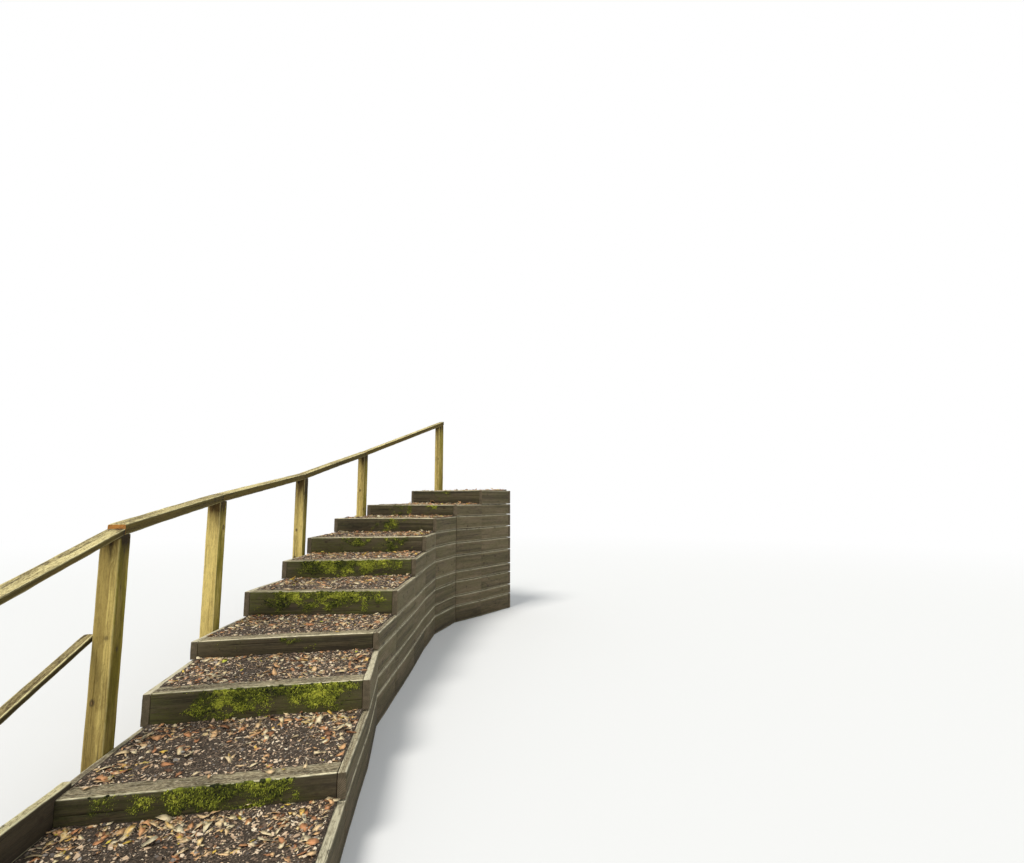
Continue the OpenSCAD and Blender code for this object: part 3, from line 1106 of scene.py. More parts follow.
FINISHES = {
    "post": TimberFinish("post_timber_weathered", body=(0.80, 0.62, 0.20),
                         late=(0.41, 0.300, 0.085), bleached=(0.62, 0.52, 0.24),
                         worn=(0.82, 0.68, 0.30), algae=(0.26, 0.215, 0.018),
                         bleaching=0.8, greening=0.95),
    "rail": TimberFinish("rail_timber_weathered", body=(0.135, 0.084, 0.022),
                         late=(0.050, 0.031, 0.009), bleached=(0.86, 0.74, 0.35),
                         worn=(0.84, 0.74, 0.38), algae=(0.115, 0.090, 0.018),
                         bleaching=0.95, greening=0.8),
    "riser": TimberFinish("sleeper_timber_weathered", body=(0.120, 0.094, 0.055),
                          late=(0.043, 0.034, 0.021), bleached=(0.53, 0.455, 0.285),
                          worn=(0.92, 0.83, 0.55), algae=(0.075, 0.068, 0.022),
                          bleaching=0.95, greening=0.7),
    "board": TimberFinish("side_board_weathered", body=(0.21, 0.155, 0.098),
                          late=(0.085, 0.062, 0.040), bleached=(0.60, 0.53, 0.34),
                          worn=(0.66, 0.60, 0.41), algae=(0.105, 0.095, 0.040),
                          bleaching=0.9, greening=0.75),
    "kerb": TimberFinish("kerb_board_weathered", body=(0.092, 0.066, 0.044),
                         late=(0.040, 0.029, 0.020), bleached=(0.95, 0.84, 0.47),
                         worn=(0.90, 0.82, 0.50), algae=(0.048, 0.040, 0.018),
                         bleaching=1.8, greening=0.6),
    "fresh_end": EndFinish("rail_end_fresh", early=(0.68, 0.31, 0.065), late=(0.34, 0.125, 0.028),
                           stain=(0.20, 0.095, 0.035), staining=0.55),
    "old_end": EndFinish("timber_end_weathered", early=(0.185, 0.145, 0.092),
                         late=(0.085, 0.064, 0.040), stain=(0.060, 0.050, 0.028), staining=0.6),
    "soil": SoilFinish("compacted_gravel_and_soil", earth=(0.026, 0.020, 0.015),
                       crumb=(0.145, 0.110, 0.078), flakes=(
                           (0.0, (0.11, 0.080, 0.058)), (0.3, (0.24, 0.170, 0.115)),
                           (0.55, (0.41, 0.29, 0.20)), (0.72, (0.50, 0.37, 0.26)),
                           (0.88, (0.31, 0.27, 0.225)), (1.0, (0.62, 0.52, 0.38)))),
    "leaf": TintedFinish("fallen_leaf", (
        (0.0, (0.10, 0.052, 0.028)), (0.13, (0.34, 0.155, 0.070)), (0.28, (0.66, 0.300, 0.130)),
        (0.44, (0.78, 0.47, 0.22)), (0.60, (0.83, 0.64, 0.36)), (0.76, (0.88, 0.77, 0.50)),
        (0.87, (0.84, 0.50, 0.11)), (0.94, (0.82, 0.66, 0.10)), (1.0, (0.54, 0.58, 0.07))),
        mottle=0.22, mottle_scale=90.0, roughness=0.6, bump=0.0008),
    "chip": TintedFinish("litter_flake", (
        (0.0, (0.045, 0.032, 0.022)), (0.24, (0.17, 0.115, 0.078)), (0.44, (0.49, 0.340, 0.215)),
        (0.64, (0.67, 0.480, 0.310)), (0.84, (0.76, 0.60, 0.41)), (1.0, (0.82, 0.71, 0.52))),
        mottle=0.25, mottle_scale=150.0, roughness=0.8, bump=0.0006),
    "stone": TintedFinish("gravel_stone", (
        (0.0, (0.075, 0.062, 0.052)), (0.4, (0.17, 0.145, 0.125)), (0.7, (0.29, 0.26, 0.225)),
        (1.0, (0.45, 0.42, 0.37))), mottle=0.3, mottle_scale=160.0, roughness=0.85, bump=0.0008),
    "twig": TintedFinish("fallen_twig", (
        (0.0, (0.075, 0.052, 0.035)), (0.6, (0.21, 0.15, 0.10)), (1.0, (0.36, 0.28, 0.19))),
        mottle=0.3, mottle_scale=120.0, roughness=0.9, bump=0.0006),
    "moss": TintedFinish("moss", (
        (0.0, (0.011, 0.014, 0.003)), (0.35, (0.068, 0.080, 0.009)), (0.7, (0.22, 0.245, 0.024)),
        (1.0, (0.56, 0.57, 0.070))), mottle=0.70, mottle_scale=60.0, roughness=0.95, bump=0.002),
    "nail": TintedFinish("rusty_nail", (
        (0.0, (0.045, 0.025, 0.016)), (0.6, (0.12, 0.055, 0.028)), (1.0, (0.22, 0.10, 0.05))),
        mottle=0.5, mottle_scale=400.0, roughness=0.7, bump=0.0005),
}


def top_level(kind: str, step: int) -> float:
    """Height of the top of a riser or a tread, or of the ground for step 0."""
    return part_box(f"{kind}_{step:02d}")[1].z if step > 0 else 0.0


def turned(local: np.ndarray, turn: np.ndarray, lean: np.ndarray, roll: np.ndarray) -> np.ndarray:
    """Turns things: a roll about X, then a lean about Y, then a turn about Z.

    Args:
        local: their points, shape (things, points, 3).
        turn: an angle for each thing.
        lean: an angle for each thing.
        roll: an angle for each thing.

    Returns:
        The turned points, of the same shape.
    """
    zero, one = np.zeros_like(turn), np.ones_like(turn)
    about_x = (one, zero, zero, zero, np.cos(roll), -np.sin(roll), zero, np.sin(roll), np.cos(roll))
    about_y = (np.cos(lean), zero, np.sin(lean), zero, one, zero, -np.sin(lean), zero, np.cos(lean))
    about_z = (np.cos(turn), -np.sin(turn), zero, np.sin(turn), np.cos(turn), zero, zero, zero, one)
    x, y, z = (np.stack(parts, axis=-1).reshape(-1, 3, 3) for parts in (about_x, about_y, about_z))
    return local @ (z @ y @ x).transpose(0, 2, 1)


def lens_faces(rim: int) -> np.ndarray:
    """Triangles of a lens: a rim of points, one middle point above it and one below it."""
    k = np.arange(rim)
    onward = (k + 1) % rim
    return np.concatenate([stacked(rim, k, onward), stacked(rim + 1, onward, k)])


def with_middles(rims: np.ndarray, above: float, below: float) -> np.ndarray:
    """Rims, shape (things, points, 3), with their middle points at heights above and below."""
    middle = np.zeros((len(rims), 2, 3))
    middle[:, :, 2] = [above, -below]
    return np.concatenate([rims, middle], axis=1)


def repeated(local: np.ndarray, faces: np.ndarray, places: np.ndarray, tint: np.ndarray,
             smooth: bool) -> Shape:
    """Many loose things with the same faces as one shape.

    Args:
        local: their points before they are placed, shape (things, points, 3).
        faces: triangles of one thing, shape (t, 3).
        places: where each stands, shape (things, 3).
        tint: one value from 0 to 1 each.
        smooth: whether they are smooth.

    Returns:
        The shape, with its tint mark.
    """
    things, count = local.shape[:2]
    tris = (faces[None] + (np.arange(things) * count)[:, None, None]).reshape(-1, 3)
    points = (local + places[:, None]).reshape(-1, 3)
    return plain_shape(points, np.empty((0, 4), int), tris, smooth,
                       {"tint": np.repeat(tint, count)})


def nails(frame: TimberFrame, places: np.ndarray, face: Face, radius: float, seed: int) -> Shape:
    """Nail heads on one face of a timber.

    A head is a rim of radius (cos a, sin a) between a raised and a sunk middle point.

    Args:
        frame: the timber's frame.
        places: (distance across the face, run along the grain) of each head, shape (n, 2).
        face: the face that they are driven into.
        radius: radius of a head.
        seed: picks their tints.

    Returns:
        The heads as one shape.
    """
    sides, dome, sunk = 8, 0.3 * radius, 0.001
    a = np.arange(sides) * FULL_TURN / sides
    points = with_middles(stacked(radius * np.cos(a), radius * np.sin(a), 0.0)[None], dome, 2 * dome)
    if face is Face.TOP:
        axes = np.stack([frame.side, frame.along, frame.up])
        section = stacked(places[:, 0], frame.half[1] - sunk)
    else:
        sign = float(face.value)
        axes = np.stack([sign * frame.along, frame.up, sign * frame.side])
        section = stacked(sign * (frame.half[0] - sunk), places[:, 0])
    heads = np.broadcast_to(points @ axes, (len(places), sides + 2, 3))
    tint = np.random.default_rng(seed).uniform(0, 1, len(places))
    return repeated(heads, lens_faces(sides), frame.place(section, places[:, 1]), tint, True)


# Moss on each riser's front, as (start, end, strength) in shares of its length from the left
MOSS_BANDS = {
    1: ((0.30, 0.55, 0.5), (0.66, 0.92, 0.7)),
    2: ((0.32, 0.64, 1.0), (0.56, 0.86, 0.85), (0.22, 0.36, 0.4), (0.10, 0.20, 0.3)),
    3: ((0.12, 0.44, 0.75), (0.22, 0.68, 1.0), (0.56, 0.99, 1.0)),
    4: ((0.40, 0.60, 0.3),),
    5: ((0.06, 0.50, 0.85), (0.34, 0.80, 1.0), (0.74, 0.96, 0.6)),
    6: ((0.04, 0.60, 0.85), (0.48, 0.96, 0.85)),
    7: ((0.20, 0.60, 0.5), (0.60, 0.90, 0.6)),
    8: ((0.30, 0.75, 0.6),),
    9: ((0.15, 0.50, 0.6), (0.60, 0.85, 0.5)),
    10: ((0.30, 0.65, 0.5),),
}

# Most that a thin green film covers of a riser's front, on the risers where it isn't the usual
MOSS_FILM = {2: 0.35, 3: 0.62, 4: 0.15, 5: 0.7, 6: 0.8, 7: 0.5}
USUAL_MOSS_FILM = 0.2


@dataclass
class Sleepers:
    """The riser sleepers and the moss on their fronts.

    Moss reaches moss_depth down from the upper corner, and stains what lies within front_depth of
    the front. candidates counts the spikes and cushions that are dropped on each riser, of which
    the cover keeps some.
    """

    palette: Palette
    weather: Weathering = Weathering(radius=0.009, wear=0.005, relief=0.0016, bow=0.003,
                                     splits=11, split_depth=0.009, step_round=0.012)
    moss_depth: float = 0.17
    front_depth: float = 0.012
    candidates: dict[Tuft, int] = field(
        default_factory=lambda: {Tuft.SPIKE: 9000, Tuft.CUSHION: 1000})
    frames: dict[int, TimberFrame] = field(default_factory=dict)

    def build(self) -> None:
        """Makes every riser with its moss."""
        growth = []
        for step in range(1, STEPS + 1):
            node = f"riser_{step:02d}"
            frame = TimberFrame.of_node(node)
            self.frames[step] = frame
            level = top_level("tread", step - 1)
            shape = Timber(frame, self.weather, 100 + step, level, wet_reach=0.09).shape()
            outward, height, across = frame.local(shape.points).T
            front = outward > frame.half[0] - self.front_depth
            cover = np.maximum(self.cover(step, across, height), self.film(step, across, height))
            shape.marks["moss"] = np.where(front, cover, 0.0)
            dress(node, shape, "sleeper_timber", self.palette["riser"], self.palette["old_end"])
            growth.append(joined(self.tufts(step)))
        half = STEPS // 2
        for name, part in (("moss_on_lower_risers", growth[:half]),
                           ("moss_on_upper_risers", growth[half:])):
            make_piece(name, joined(part), [self.palette["moss"]], "sleeper_timber")

    def cover(self, step: int, across: np.ndarray, height: np.ndarray) -> np.ndarray:
        """Share of a riser's front that moss covers.

        Each band is a smooth hump in the share of the riser's length, thickest just under the
        upper corner and thinning to the foot, and noise breaks its edges.

        Args:
            step: number of the riser.
            across: places along the riser, from its middle.
            height: heights from its middle.

        Returns:
            Shares from 0 to 1.
        """
        frame = self.frames[step]
        share = 0.5 + 0.5 * across / frame.half_run
        under = (frame.half[1] - height) / self.moss_depth
        cover = np.zeros_like(across)
        for start, end, strength in MOSS_BANDS[step]:
            from_middle = (share - (start + end) / 2) / ((end - start) / 2)
            cover = np.maximum(cover, strength * np.clip(1.15 - from_middle ** 2, 0, 1))
        fall = np.clip(1.35 - under, 0, 1) * np.clip(under / 0.07, 0, 1)
        edges = noise(stacked(across * 16, height * 22, float(step)), 40, 3)
        return np.clip(1.6 * cover * fall + 0.55 * edges - 0.35, 0, 1)

    def film(self, step: int, across: np.ndarray, height: np.ndarray) -> np.ndarray:
        """Share of a riser's front that the thin olive film round the moss covers."""
        patches = noise(stacked(across * 5, height * 9, float(step)), 42, 3)
        return MOSS_FILM.get(step, USUAL_MOSS_FILM) * np.clip(0.75 + 0.9 * patches, 0, 1)

    def tufts(self, step: int) -> list[Shape]:
        """Moss of one riser: short leaning spikes between low cushions.

        Both are dropped at random places, and stay where the cover is above a random number.

        Args:
            step: number of the riser.

        Returns:
            The spikes and the cushions, each as one shape.
        """
        frame, rng = self.frames[step], np.random.default_rng(400 + step)
        basis = np.stack([frame.along, frame.up, frame.side])
        shapes = []
        for tuft, count in self.candidates.items():
            across = rng.uniform(-0.97, 0.97, count) * frame.half_run
            height = frame.half[1] - rng.uniform(0.008, 1.1 * self.moss_depth, count)
            cover = self.cover(step, across, height)
            kept = cover > rng.uniform(0.08, 0.9, count)
            across, height, cover = across[kept], height[kept], cover[kept]
            size = (0.45 + 0.75 * cover) * rng.uniform(0.7, 1.3, len(cover))
            place = frame.place(stacked(frame.half[0] - 0.004, height), across)
            spiky = tuft is Tuft.SPIKE
            local, faces = self.spikes(rng, size) if spiky else self.cushions(rng, size)
            drift = noise(stacked(across * 9, height * 14, float(step)), 41, 2)
            tint = 0.10 + 0.45 * cover + 0.35 * drift + (0.15 if spiky else -0.1)
            tint = np.clip(tint + rng.normal(0, 0.22, len(cover)), 0, 1)
            shapes.append(repeated(local @ basis, faces, place, tint, not spiky))
        return shapes

    def spikes(self, rng: np.random.Generator, size: np.ndarray) -> tuple[np.ndarray, np.ndarray]:
        """Leaning three-sided pyramids, of which the tip hangs a little.

        Args:
            rng: random numbers.
            size: size of each, where 1 is a spike 9.5 mm long.

        Returns:
            Their points and the triangles of one.
        """
        count = len(size)
        angle = rng.uniform(0, FULL_TURN, (count, 1)) + np.arange(3) * 2.1
        base = 0.0030 * size[:, None]
        rim = stacked(base * np.cos(angle), base * np.sin(angle), 0.0)
        tip = size[:, None] * stacked(rng.normal(0, 0.004, count), rng.normal(-0.004, 0.004, count),
                                      0.0095)
        faces = np.array([[0, 1, 3], [1, 2, 3], [2, 0, 3], [0, 2, 1]])
        return np.concatenate([rim, tip[:, None]], axis=1), faces

    def cushions(self, rng: np.random.Generator, size: np.ndarray) -> tuple[np.ndarray, np.ndarray]:
        """Flattened, uneven balls of twenty faces.

        Args:
            rng: random numbers.
            size: size of each, where 1 is a cushion with half axes of 12, 8 and 6 mm.

        Returns:
            Their points and the triangles of one.
        """
        ball, faces = icosahedron()
        uneven = rng.uniform(0.75, 1.2, (len(size), len(ball), 1))
        return ball * uneven * size[:, None, None] * np.array([0.012, 0.008, 0.006]), faces


def icosahedron() -> tuple[np.ndarray, np.ndarray]:
    """Twenty-faced ball of radius 1, whose corners are the turns of (0, 1, golden ratio).

    Returns:
        Its points and triangles.
    """
    g = (1 + 5 ** 0.5) / 2
    points = unit(np.array([[-1, g, 0], [1, g, 0], [-1, -g, 0], [1, -g, 0], [0, -1, g], [0, 1, g],
                            [0, -1, -g], [0, 1, -g], [g, 0, -1], [g, 0, 1], [-g, 0, -1], [-g, 0, 1]]))
    faces = np.array([[0, 11, 5], [0, 5, 1], [0, 1, 7], [0, 7, 10], [0, 10, 11], [1, 5, 9],
                      [5, 11, 4], [11, 10, 2], [10, 7, 6], [7, 1, 8], [3, 9, 4], [3, 4, 2],
                      [3, 2, 6], [3, 6, 8], [3, 8, 9], [4, 9, 5], [2, 4, 11], [6, 2, 10],
                      [8, 6, 7], [9, 8, 1]])
    return points, faces


@dataclass
class SideBoards:
    """The boards on edge that close the flanks and the back, the kerb board and their nails.

    gap is half the joint between two boards, nail the radius of a nail's head, and nail_inset how
    far a nail stands from its board's end.
    """

    palette: Palette
    weather: Weathering = Weathering(radius=0.006, wear=0.0025, relief=0.0012, bow=0.0025,
                                     splits=2, split_depth=0.005, step_round=0.045,
                                     step_along=0.11, arc_steps=2, end_rings=(0.6,))
    gap: float = 0.0015
    nail: float = 0.0045
    nail_inset: float = 0.035

    def build(self) -> None:
        """Makes every board, each as a timber of its own, joined by step."""
        heads, board_finishes = [], (self.palette["board"], self.palette["old_end"])
        for step in range(1, STEPS + 1):
            node = f"sides_{step:02d}"
            corners = node_triangles(node)
            across = TimberFrame.of_node(f"riser_{step:02d}").along
            middle = corners.mean(axis=1) @ across
            on_right = middle > (middle.min() + middle.max()) / 2
            boards = []
            for right in (False, True):
                stack = TimberFrame.of(corners[on_right == right], level=True)
                face = Face.OUT if right else Face.IN
                boards += self.stack(stack, step, 1000 * (1 + right) + 20 * step, face, heads)
            dress(node, joined(boards), "side_board_timber", *board_finishes)
        back = TimberFrame.of_node("back_boards", level=True)
        uphill = back.side @ (back.middle - np.array(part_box("riser_01")[0])) > 0
        boards = self.stack(back, STEPS, 5000, Face.OUT if uphill else Face.IN, heads)
        dress("back_boards", joined(boards), "side_board_timber", *board_finishes)
        heads.append(self.kerb())
        make_piece("board_nails", joined(heads), [self.palette["nail"]], "side_board_timber")

    def stack(self, frame: TimberFrame, top: int, seed: int, face: Face,
              heads: list[Shape]) -> list[Shape]:
        """Boards of one stack, one for each step, each nailed twice at both ends.

        Args:
            frame: the frame of the whole stack.
            top: number of the step that it reaches up to.
            seed: picks the wear and the tone of its boards.
            face: the face that is nailed.
            heads: list that the nails are added to.

        Returns:
            The boards.
        """
        boards = []
        for course in range(1, top + 1):
            board = frame.course(top_level("riser", course - 1) + self.gap,
                                 top_level("riser", course) - self.gap)
            tone = 0.16 * math.sin(2.4 * seed + 5.3 * course)
            boards.append(Timber(board, self.weather, seed + course, tone=tone).shape())
            runs = np.repeat([board.middle_reach(End.LOWER) + self.nail_inset,
                              board.middle_reach(End.UPPER) - self.nail_inset], 2)
            heights = np.tile([-0.5, 0.5], 2) * board.half[1]
            jitter = np.random.default_rng(seed + course).uniform(-0.008, 0.008, (4, 2))
            heads.append(nails(board, stacked(heights, runs) + jitter, face, self.nail, seed + course))
        return boards

    def kerb(self) -> Shape:
        """Makes the kerb board, coarser in its grain and more worn on top than the rest.

        Returns:
            Its nails.
        """
        frame = TimberFrame.of_node("kerb_board")
        weather = Weathering(radius=0.007, wear=0.004, relief=0.0014, bow=0.002, splits=7,
                             split_depth=0.007, step_round=0.01)
        level = top_level("tread", 1)
        shape = Timber(frame, weather, 77, level, wet_reach=0.06, tone=0.12).shape()
        dress("kerb_board", shape, "side_board_timber", self.palette["kerb"],
              self.palette["old_end"])
        run = frame.half_run
        places = np.array([[0.04, run - 0.05], [-0.03, run - 0.06]])
        return nails(frame, places, Face.IN, self.nail, 78)


@dataclass
class Handrail:
    """Posts, handrail and knee rail, with the screws and nails that hold them.

    Each post has a seed that picks its knots and splits, a tone that makes it lighter or darker,
    and the length below its head that darkens, partly as rain stain and partly as painted shadow
    under the rail. screw is the radius of a screw's head.
    Screws stand across the rails at screw_rows, and off their ends by screw_insets: the lower end
    of the lowest rail, the lower ends of the others, and all upper ends.
    """

    palette: Palette
    post_weather: Weathering = Weathering(radius=0.006, wear=0.0022, relief=0.001, bow=0.003,
                                          splits=5, split_depth=0.006, step_round=0.012,
                                          step_along=0.04)
    rail_weather: Weathering = Weathering(radius=0.006, wear=0.003, relief=0.0012, bow=0.002,
                                          splits=9, split_depth=0.007, step_round=0.010,
                                          step_along=0.03)
    post_seeds: tuple[int, ...] = (201, 262, 233, 204, 205, 206)
    post_tones: tuple[float, ...] = (-0.06, -0.24, 0.26, 0.20, 0.0, -0.06)
    # How far below each post's head it darkens: partly rain stain, partly painted shadow of the rail.
    post_stains_and_shadows: tuple[float, ...] = (0.10, 0.07, 0.11, 0.26, 0.14, 0.10)
    screw: float = 0.005
    screw_rows: tuple[float, float] = (-0.022, 0.024)
    screw_insets: tuple[float, float, float] = (0.11, 0.035, 0.03)

    def build(self) -> None:
        """Makes the posts and then what they carry."""
        for number, (seed, tone, stain) in enumerate(
                zip(self.post_seeds, self.post_tones, self.post_stains_and_shadows), 1):
            node = f"post_{number:02d}"
            frame = TimberFrame.of_node(node)
            shape = Timber(frame, self.post_weather, seed, wet_reach=0.5, stain_and_shadow_reach=stain,
                           tone=tone).shape()
            dress(node, shape, "post_timber", self.palette["post"], self.palette["old_end"])
        screws = []
        for number in range(1, BAYS + 1):
            node = f"rail_{number:02d}"
            frame = TimberFrame.of_node(node)
            shape = Timber(frame, self.rail_weather, 300 + number, wet_level=-5.0, wet_reach=1.0,
                           stain_and_shadow_reach=0.03, end_finish=(2, 1)).shape()
            dress(node, shape, "rail_timber", self.palette["rail"], self.palette["old_end"],
                  self.palette["fresh_end"])
            run = frame.half_run
            lowest, lower, upper = self.screw_insets
            runs = np.repeat([-run + (lowest if number == 1 else lower), run - upper], 2)
            places = stacked(np.tile(self.screw_rows, 2), runs)
            screws.append(nails(frame, places, Face.TOP, self.screw, 310 + number))
        screws.append(self.knee_rail())
        make_piece("rail_screws", joined(screws), [self.palette["nail"]], "rail_timber")

    def knee_rail(self) -> Shape:
        """Makes the knee rail of the lowest bay, which the damp mark darkens all over as painted shade.

        Returns:
            Its nails.
        """
        frame = TimberFrame.of_node("knee_rail")
        # Damp from 0.5 m up darkens this low rail all over: painted shade, not damp from the soil.
        shape = Timber(frame, self.rail_weather, 350, wet_level=0.5, wet_reach=1.0,
                       tone=-0.16).shape()
        dress("knee_rail", shape, "rail_timber", self.palette["rail"], self.palette["old_end"])
        run = frame.half_run
        places = np.array([[0.004, -run + 0.085], [-0.003, -run + 0.045], [0.002, run - 0.016]])
        return nails(frame, places, Face.IN, self.screw, 351)


# Noise of a tread's crust: cells a metre, half its height, first seed and number of layers
CRUST_NOISE = ((8, 0.0032, 70, 1), (27, 0.0022, 80, 2), (62, 0.0014, 90, 1))


@dataclass
class Tread:
    """Crust of one tread: a grid of columns and rows between its four corners.

    overlap is how far the crust reaches past the solid's top, under the timbers round it.
    """

    step: int
    overlap: float = 0.004
    columns: int = 90
    rows: int = 54
    corners: np.ndarray = field(init=False)
    size: np.ndarray = field(init=False)

    def __post_init__(self) -> None:
        """Reads the corners of the tread's top from its solid.

        They are the points of the top that lie furthest out on the diagonals of the riser's own
        directions, as [front or back][left or right].
        """
        points = node_triangles(f"tread_{self.step:02d}").reshape(-1, 3)
        top = points[points[:, 2] > points[:, 2].max() - 1e-5]
        riser = TimberFrame.of_node(f"riser_{self.step:02d}")
        across, onward = top @ riser.along, top @ -riser.side
        picks = [[(-across - onward).argmax(), (across - onward).argmax()],
                 [(onward - across).argmax(), (across + onward).argmax()]]
        corners = top[np.array(picks)]
        out = unit(corners - corners.mean(axis=(0, 1)))
        self.corners = corners + self.overlap * 2 ** 0.5 * out
        self.size = np.array([np.linalg.norm(corners[0, 1] - corners[0, 0]),
                              np.linalg.norm(corners[1].mean(axis=0) - corners[0].mean(axis=0))])

    def place(self, a: np.ndarray, b: np.ndarray) -> np.ndarray:
        """Points of the crust's surface.

        a goes from left to right and b from front to back, each from 0 to 1. The plan is bilinear
        between the corners. The height is the solid's top, a bank of litter that falls off by
        e^-(d / 7 cm) from the next riser, a lower one along the sides, and noise of three sizes.

        Args:
            a: shares of the width.
            b: shares of the depth, of the same shape.

        Returns:
            Points of shape (..., 3).
        """
        a, b = a[..., None], b[..., None]
        front = (1 - a) * self.corners[0, 0] + a * self.corners[0, 1]
        back = (1 - a) * self.corners[1, 0] + a * self.corners[1, 1]
        points = (1 - b) * front + b * back
        a, b = a[..., 0], b[..., 0]
        from_back, from_front = (1 - b) * self.size[1], b * self.size[1]
        from_side = np.minimum(a, 1 - a) * self.size[0]
        plan = points * np.array([1.0, 1.0, 0.0])
        bank = 0.5 + 0.5 * noise(plan * 3.1, 60 + self.step)
        rise = 0.001 + np.exp(-from_back / 0.07) * (0.010 + 0.014 * bank)
        rise = rise + 0.006 * np.exp(-from_side / 0.06)
        for cells, half_height, seed, octaves in CRUST_NOISE:
            rise = rise + half_height * (1 + noise(plan * cells, seed + self.step, octaves))
        rise = rise * (0.55 + 0.45 * np.clip(from_front / 0.05, 0, 1))
        return points + rise[..., None] * UP

    def crust(self) -> Shape:
        """The surface as a closed shell: its grid, a rim turned down and a fan below."""
        a, b = np.meshgrid(np.linspace(0, 1, self.columns), np.linspace(0, 1, self.rows))
        points = self.place(a, b).reshape(-1, 3)
        index = np.arange(len(points)).reshape(self.rows, self.columns)
        quads = np.stack([index[:-1, :-1], index[:-1, 1:], index[1:, 1:], index[1:, :-1]], axis=-1)
        rim = np.concatenate([index[0], index[1:, -1], index[-1, -2::-1], index[-2:0:-1, 0]])
        low = points[rim] * np.array([1, 1, 0]) + (self.corners[0, 0, 2] - 0.006) * UP
        lower = len(points) + np.arange(len(rim))
        skirt = np.stack([rim, lower, np.roll(lower, -1), np.roll(rim, -1)], axis=-1)
        centre = np.full(len(rim), len(points) + len(rim))
        fan = np.stack([np.roll(lower, -1), lower, centre], axis=-1)
        every = np.concatenate([points, low, low.mean(axis=0, keepdims=True)])
        return plain_shape(every, np.concatenate([quads.reshape(-1, 4), skirt]), fan, True)


@dataclass(frozen=True)
class SizeSpread:
    """Sizes of loose things: log-normal round a median, held between least and most."""

    median: float
    spread: float
    least: float
    most: float

    def draw(self, rng: np.random.Generator, shape: tuple[int, ...]) -> np.ndarray:
        """Random sizes."""
        sizes = rng.lognormal(math.log(self.median), self.spread, shape)
        return np.clip(sizes, self.least, self.most)


LEAF_LENGTH = SizeSpread(0.038, 0.38, 0.016, 0.080)
FLAKE_RADIUS = SizeSpread(0.0084, 0.45, 0.0035, 0.022)
STONE_RADIUS = SizeSpread(0.0052, 0.42, 0.0025, 0.014)


def leaves(rng: np.random.Generator, places: np.ndarray) -> Shape:
    """Fallen leaves, each a thin closed cup.

    The rim is (L/2 cos a (1 + cos a / 8), W/2 sin a (1 - cos a / 3)), with a five-fold wave where
    the leaf is lobed. It is raised by the fold times |y| and the curl times x^2, and two middle
    points close it above and below.

    Args:
        rng: random numbers.
        places: where each lies, shape (n, 3).

    Returns:
        The leaves as one shape.
    """
    count, rim = len(places), 14
    a = np.arange(rim) * FULL_TURN / rim + np.zeros((count, 1))
    length = LEAF_LENGTH.draw(rng, (count, 1))
    width = length * rng.uniform(0.30, 0.60, (count, 1))
    lobed = (rng.uniform(size=(count, 1)) < 0.2) * 0.3
    edge = 1 + lobed * np.cos(5 * a) + rng.normal(0, 0.07, (count, rim))
    x = length / 2 * np.cos(a) * (1 + np.cos(a) / 8) * edge
    y = width / 2 * np.sin(a) * (1 - np.cos(a) / 3) * edge
    fold, curl = rng.uniform(-0.15, 0.5, (count, 1)), rng.normal(0, 4.5, (count, 1))
    z = fold * np.abs(y) + curl * x ** 2 + rng.normal(0, 0.035, (count, rim)) * width
    tilts = rng.normal(0, 0.2, (2, count))
    local = with_middles(np.stack([x, y, z], axis=-1), 0.0005, 0.0005)
    local = turned(local, rng.uniform(0, FULL_TURN, count), *tilts)
    lift = np.maximum(-local[:, :, 2].min(axis=1) - 0.004, 0.0) + 0.001
    tint = rng.beta(2.1, 1.9, count)
    return repeated(local, lens_faces(rim), places + lift[:, None] * UP, tint, True)


def flakes(rng: np.random.Generator, places: np.ndarray) -> Shape:
    """Broken leaf and bark: small flat five-cornered flakes, each a closed lens.

    Args:
        rng: random numbers.
        places: where each lies, shape (n, 3).

    Returns:
        The flakes as one shape.
    """
    count, rim = len(places), 5
    a = (np.arange(rim) + rng.uniform(-0.3, 0.3, (count, rim))) * FULL_TURN / rim
    size = FLAKE_RADIUS.draw(rng, (count, 1))
    slim = rng.uniform(0.24, 0.70, (count, 1))
    edge = rng.uniform(0.7, 1.2, (count, rim))
    local = np.stack([size * edge * np.cos(a), slim * size * edge * np.sin(a),
                      rng.normal(0, 0.12, (count, rim)) * size], axis=-1)
    local = with_middles(local, 0.0008, 0.0010)
    local = turned(local, rng.uniform(0, FULL_TURN, count), *rng.normal(0, 0.25, (2, count)))
    lift = rng.uniform(0.0005, 0.003, (count, 1))
    tint = rng.beta(0.9, 0.95, count)
    return repeated(local, lens_faces(rim), places + lift * UP, tint, False)


def stones(rng: np.random.Generator, places: np.ndarray) -> Shape:
    """Gravel stones: flattened twenty-faced balls with uneven corners, sunk by a third.

    Args:
        rng: random numbers.
        places: where each lies, shape (n, 3).

    Returns:
        The stones as one shape.
    """
    count = len(places)
    ball, faces = icosahedron()
    size = STONE_RADIUS.draw(rng, (count, 1, 1))
    local = ball * rng.uniform(0.7, 1.2, (count, len(ball), 1)) * size
    local = local * np.stack([rng.uniform(0.8, 1.4, count), rng.uniform(0.7, 1.1, count),
                              rng.uniform(0.45, 0.8, count)], axis=-1)[:, None]
    local = turned(local, rng.uniform(0, FULL_TURN, count), *rng.normal(0, 0.3, (2, count)))
    return repeated(local, faces, places + 0.2 * size[:, 0] * UP, rng.beta(1.6, 2.2, count), False)


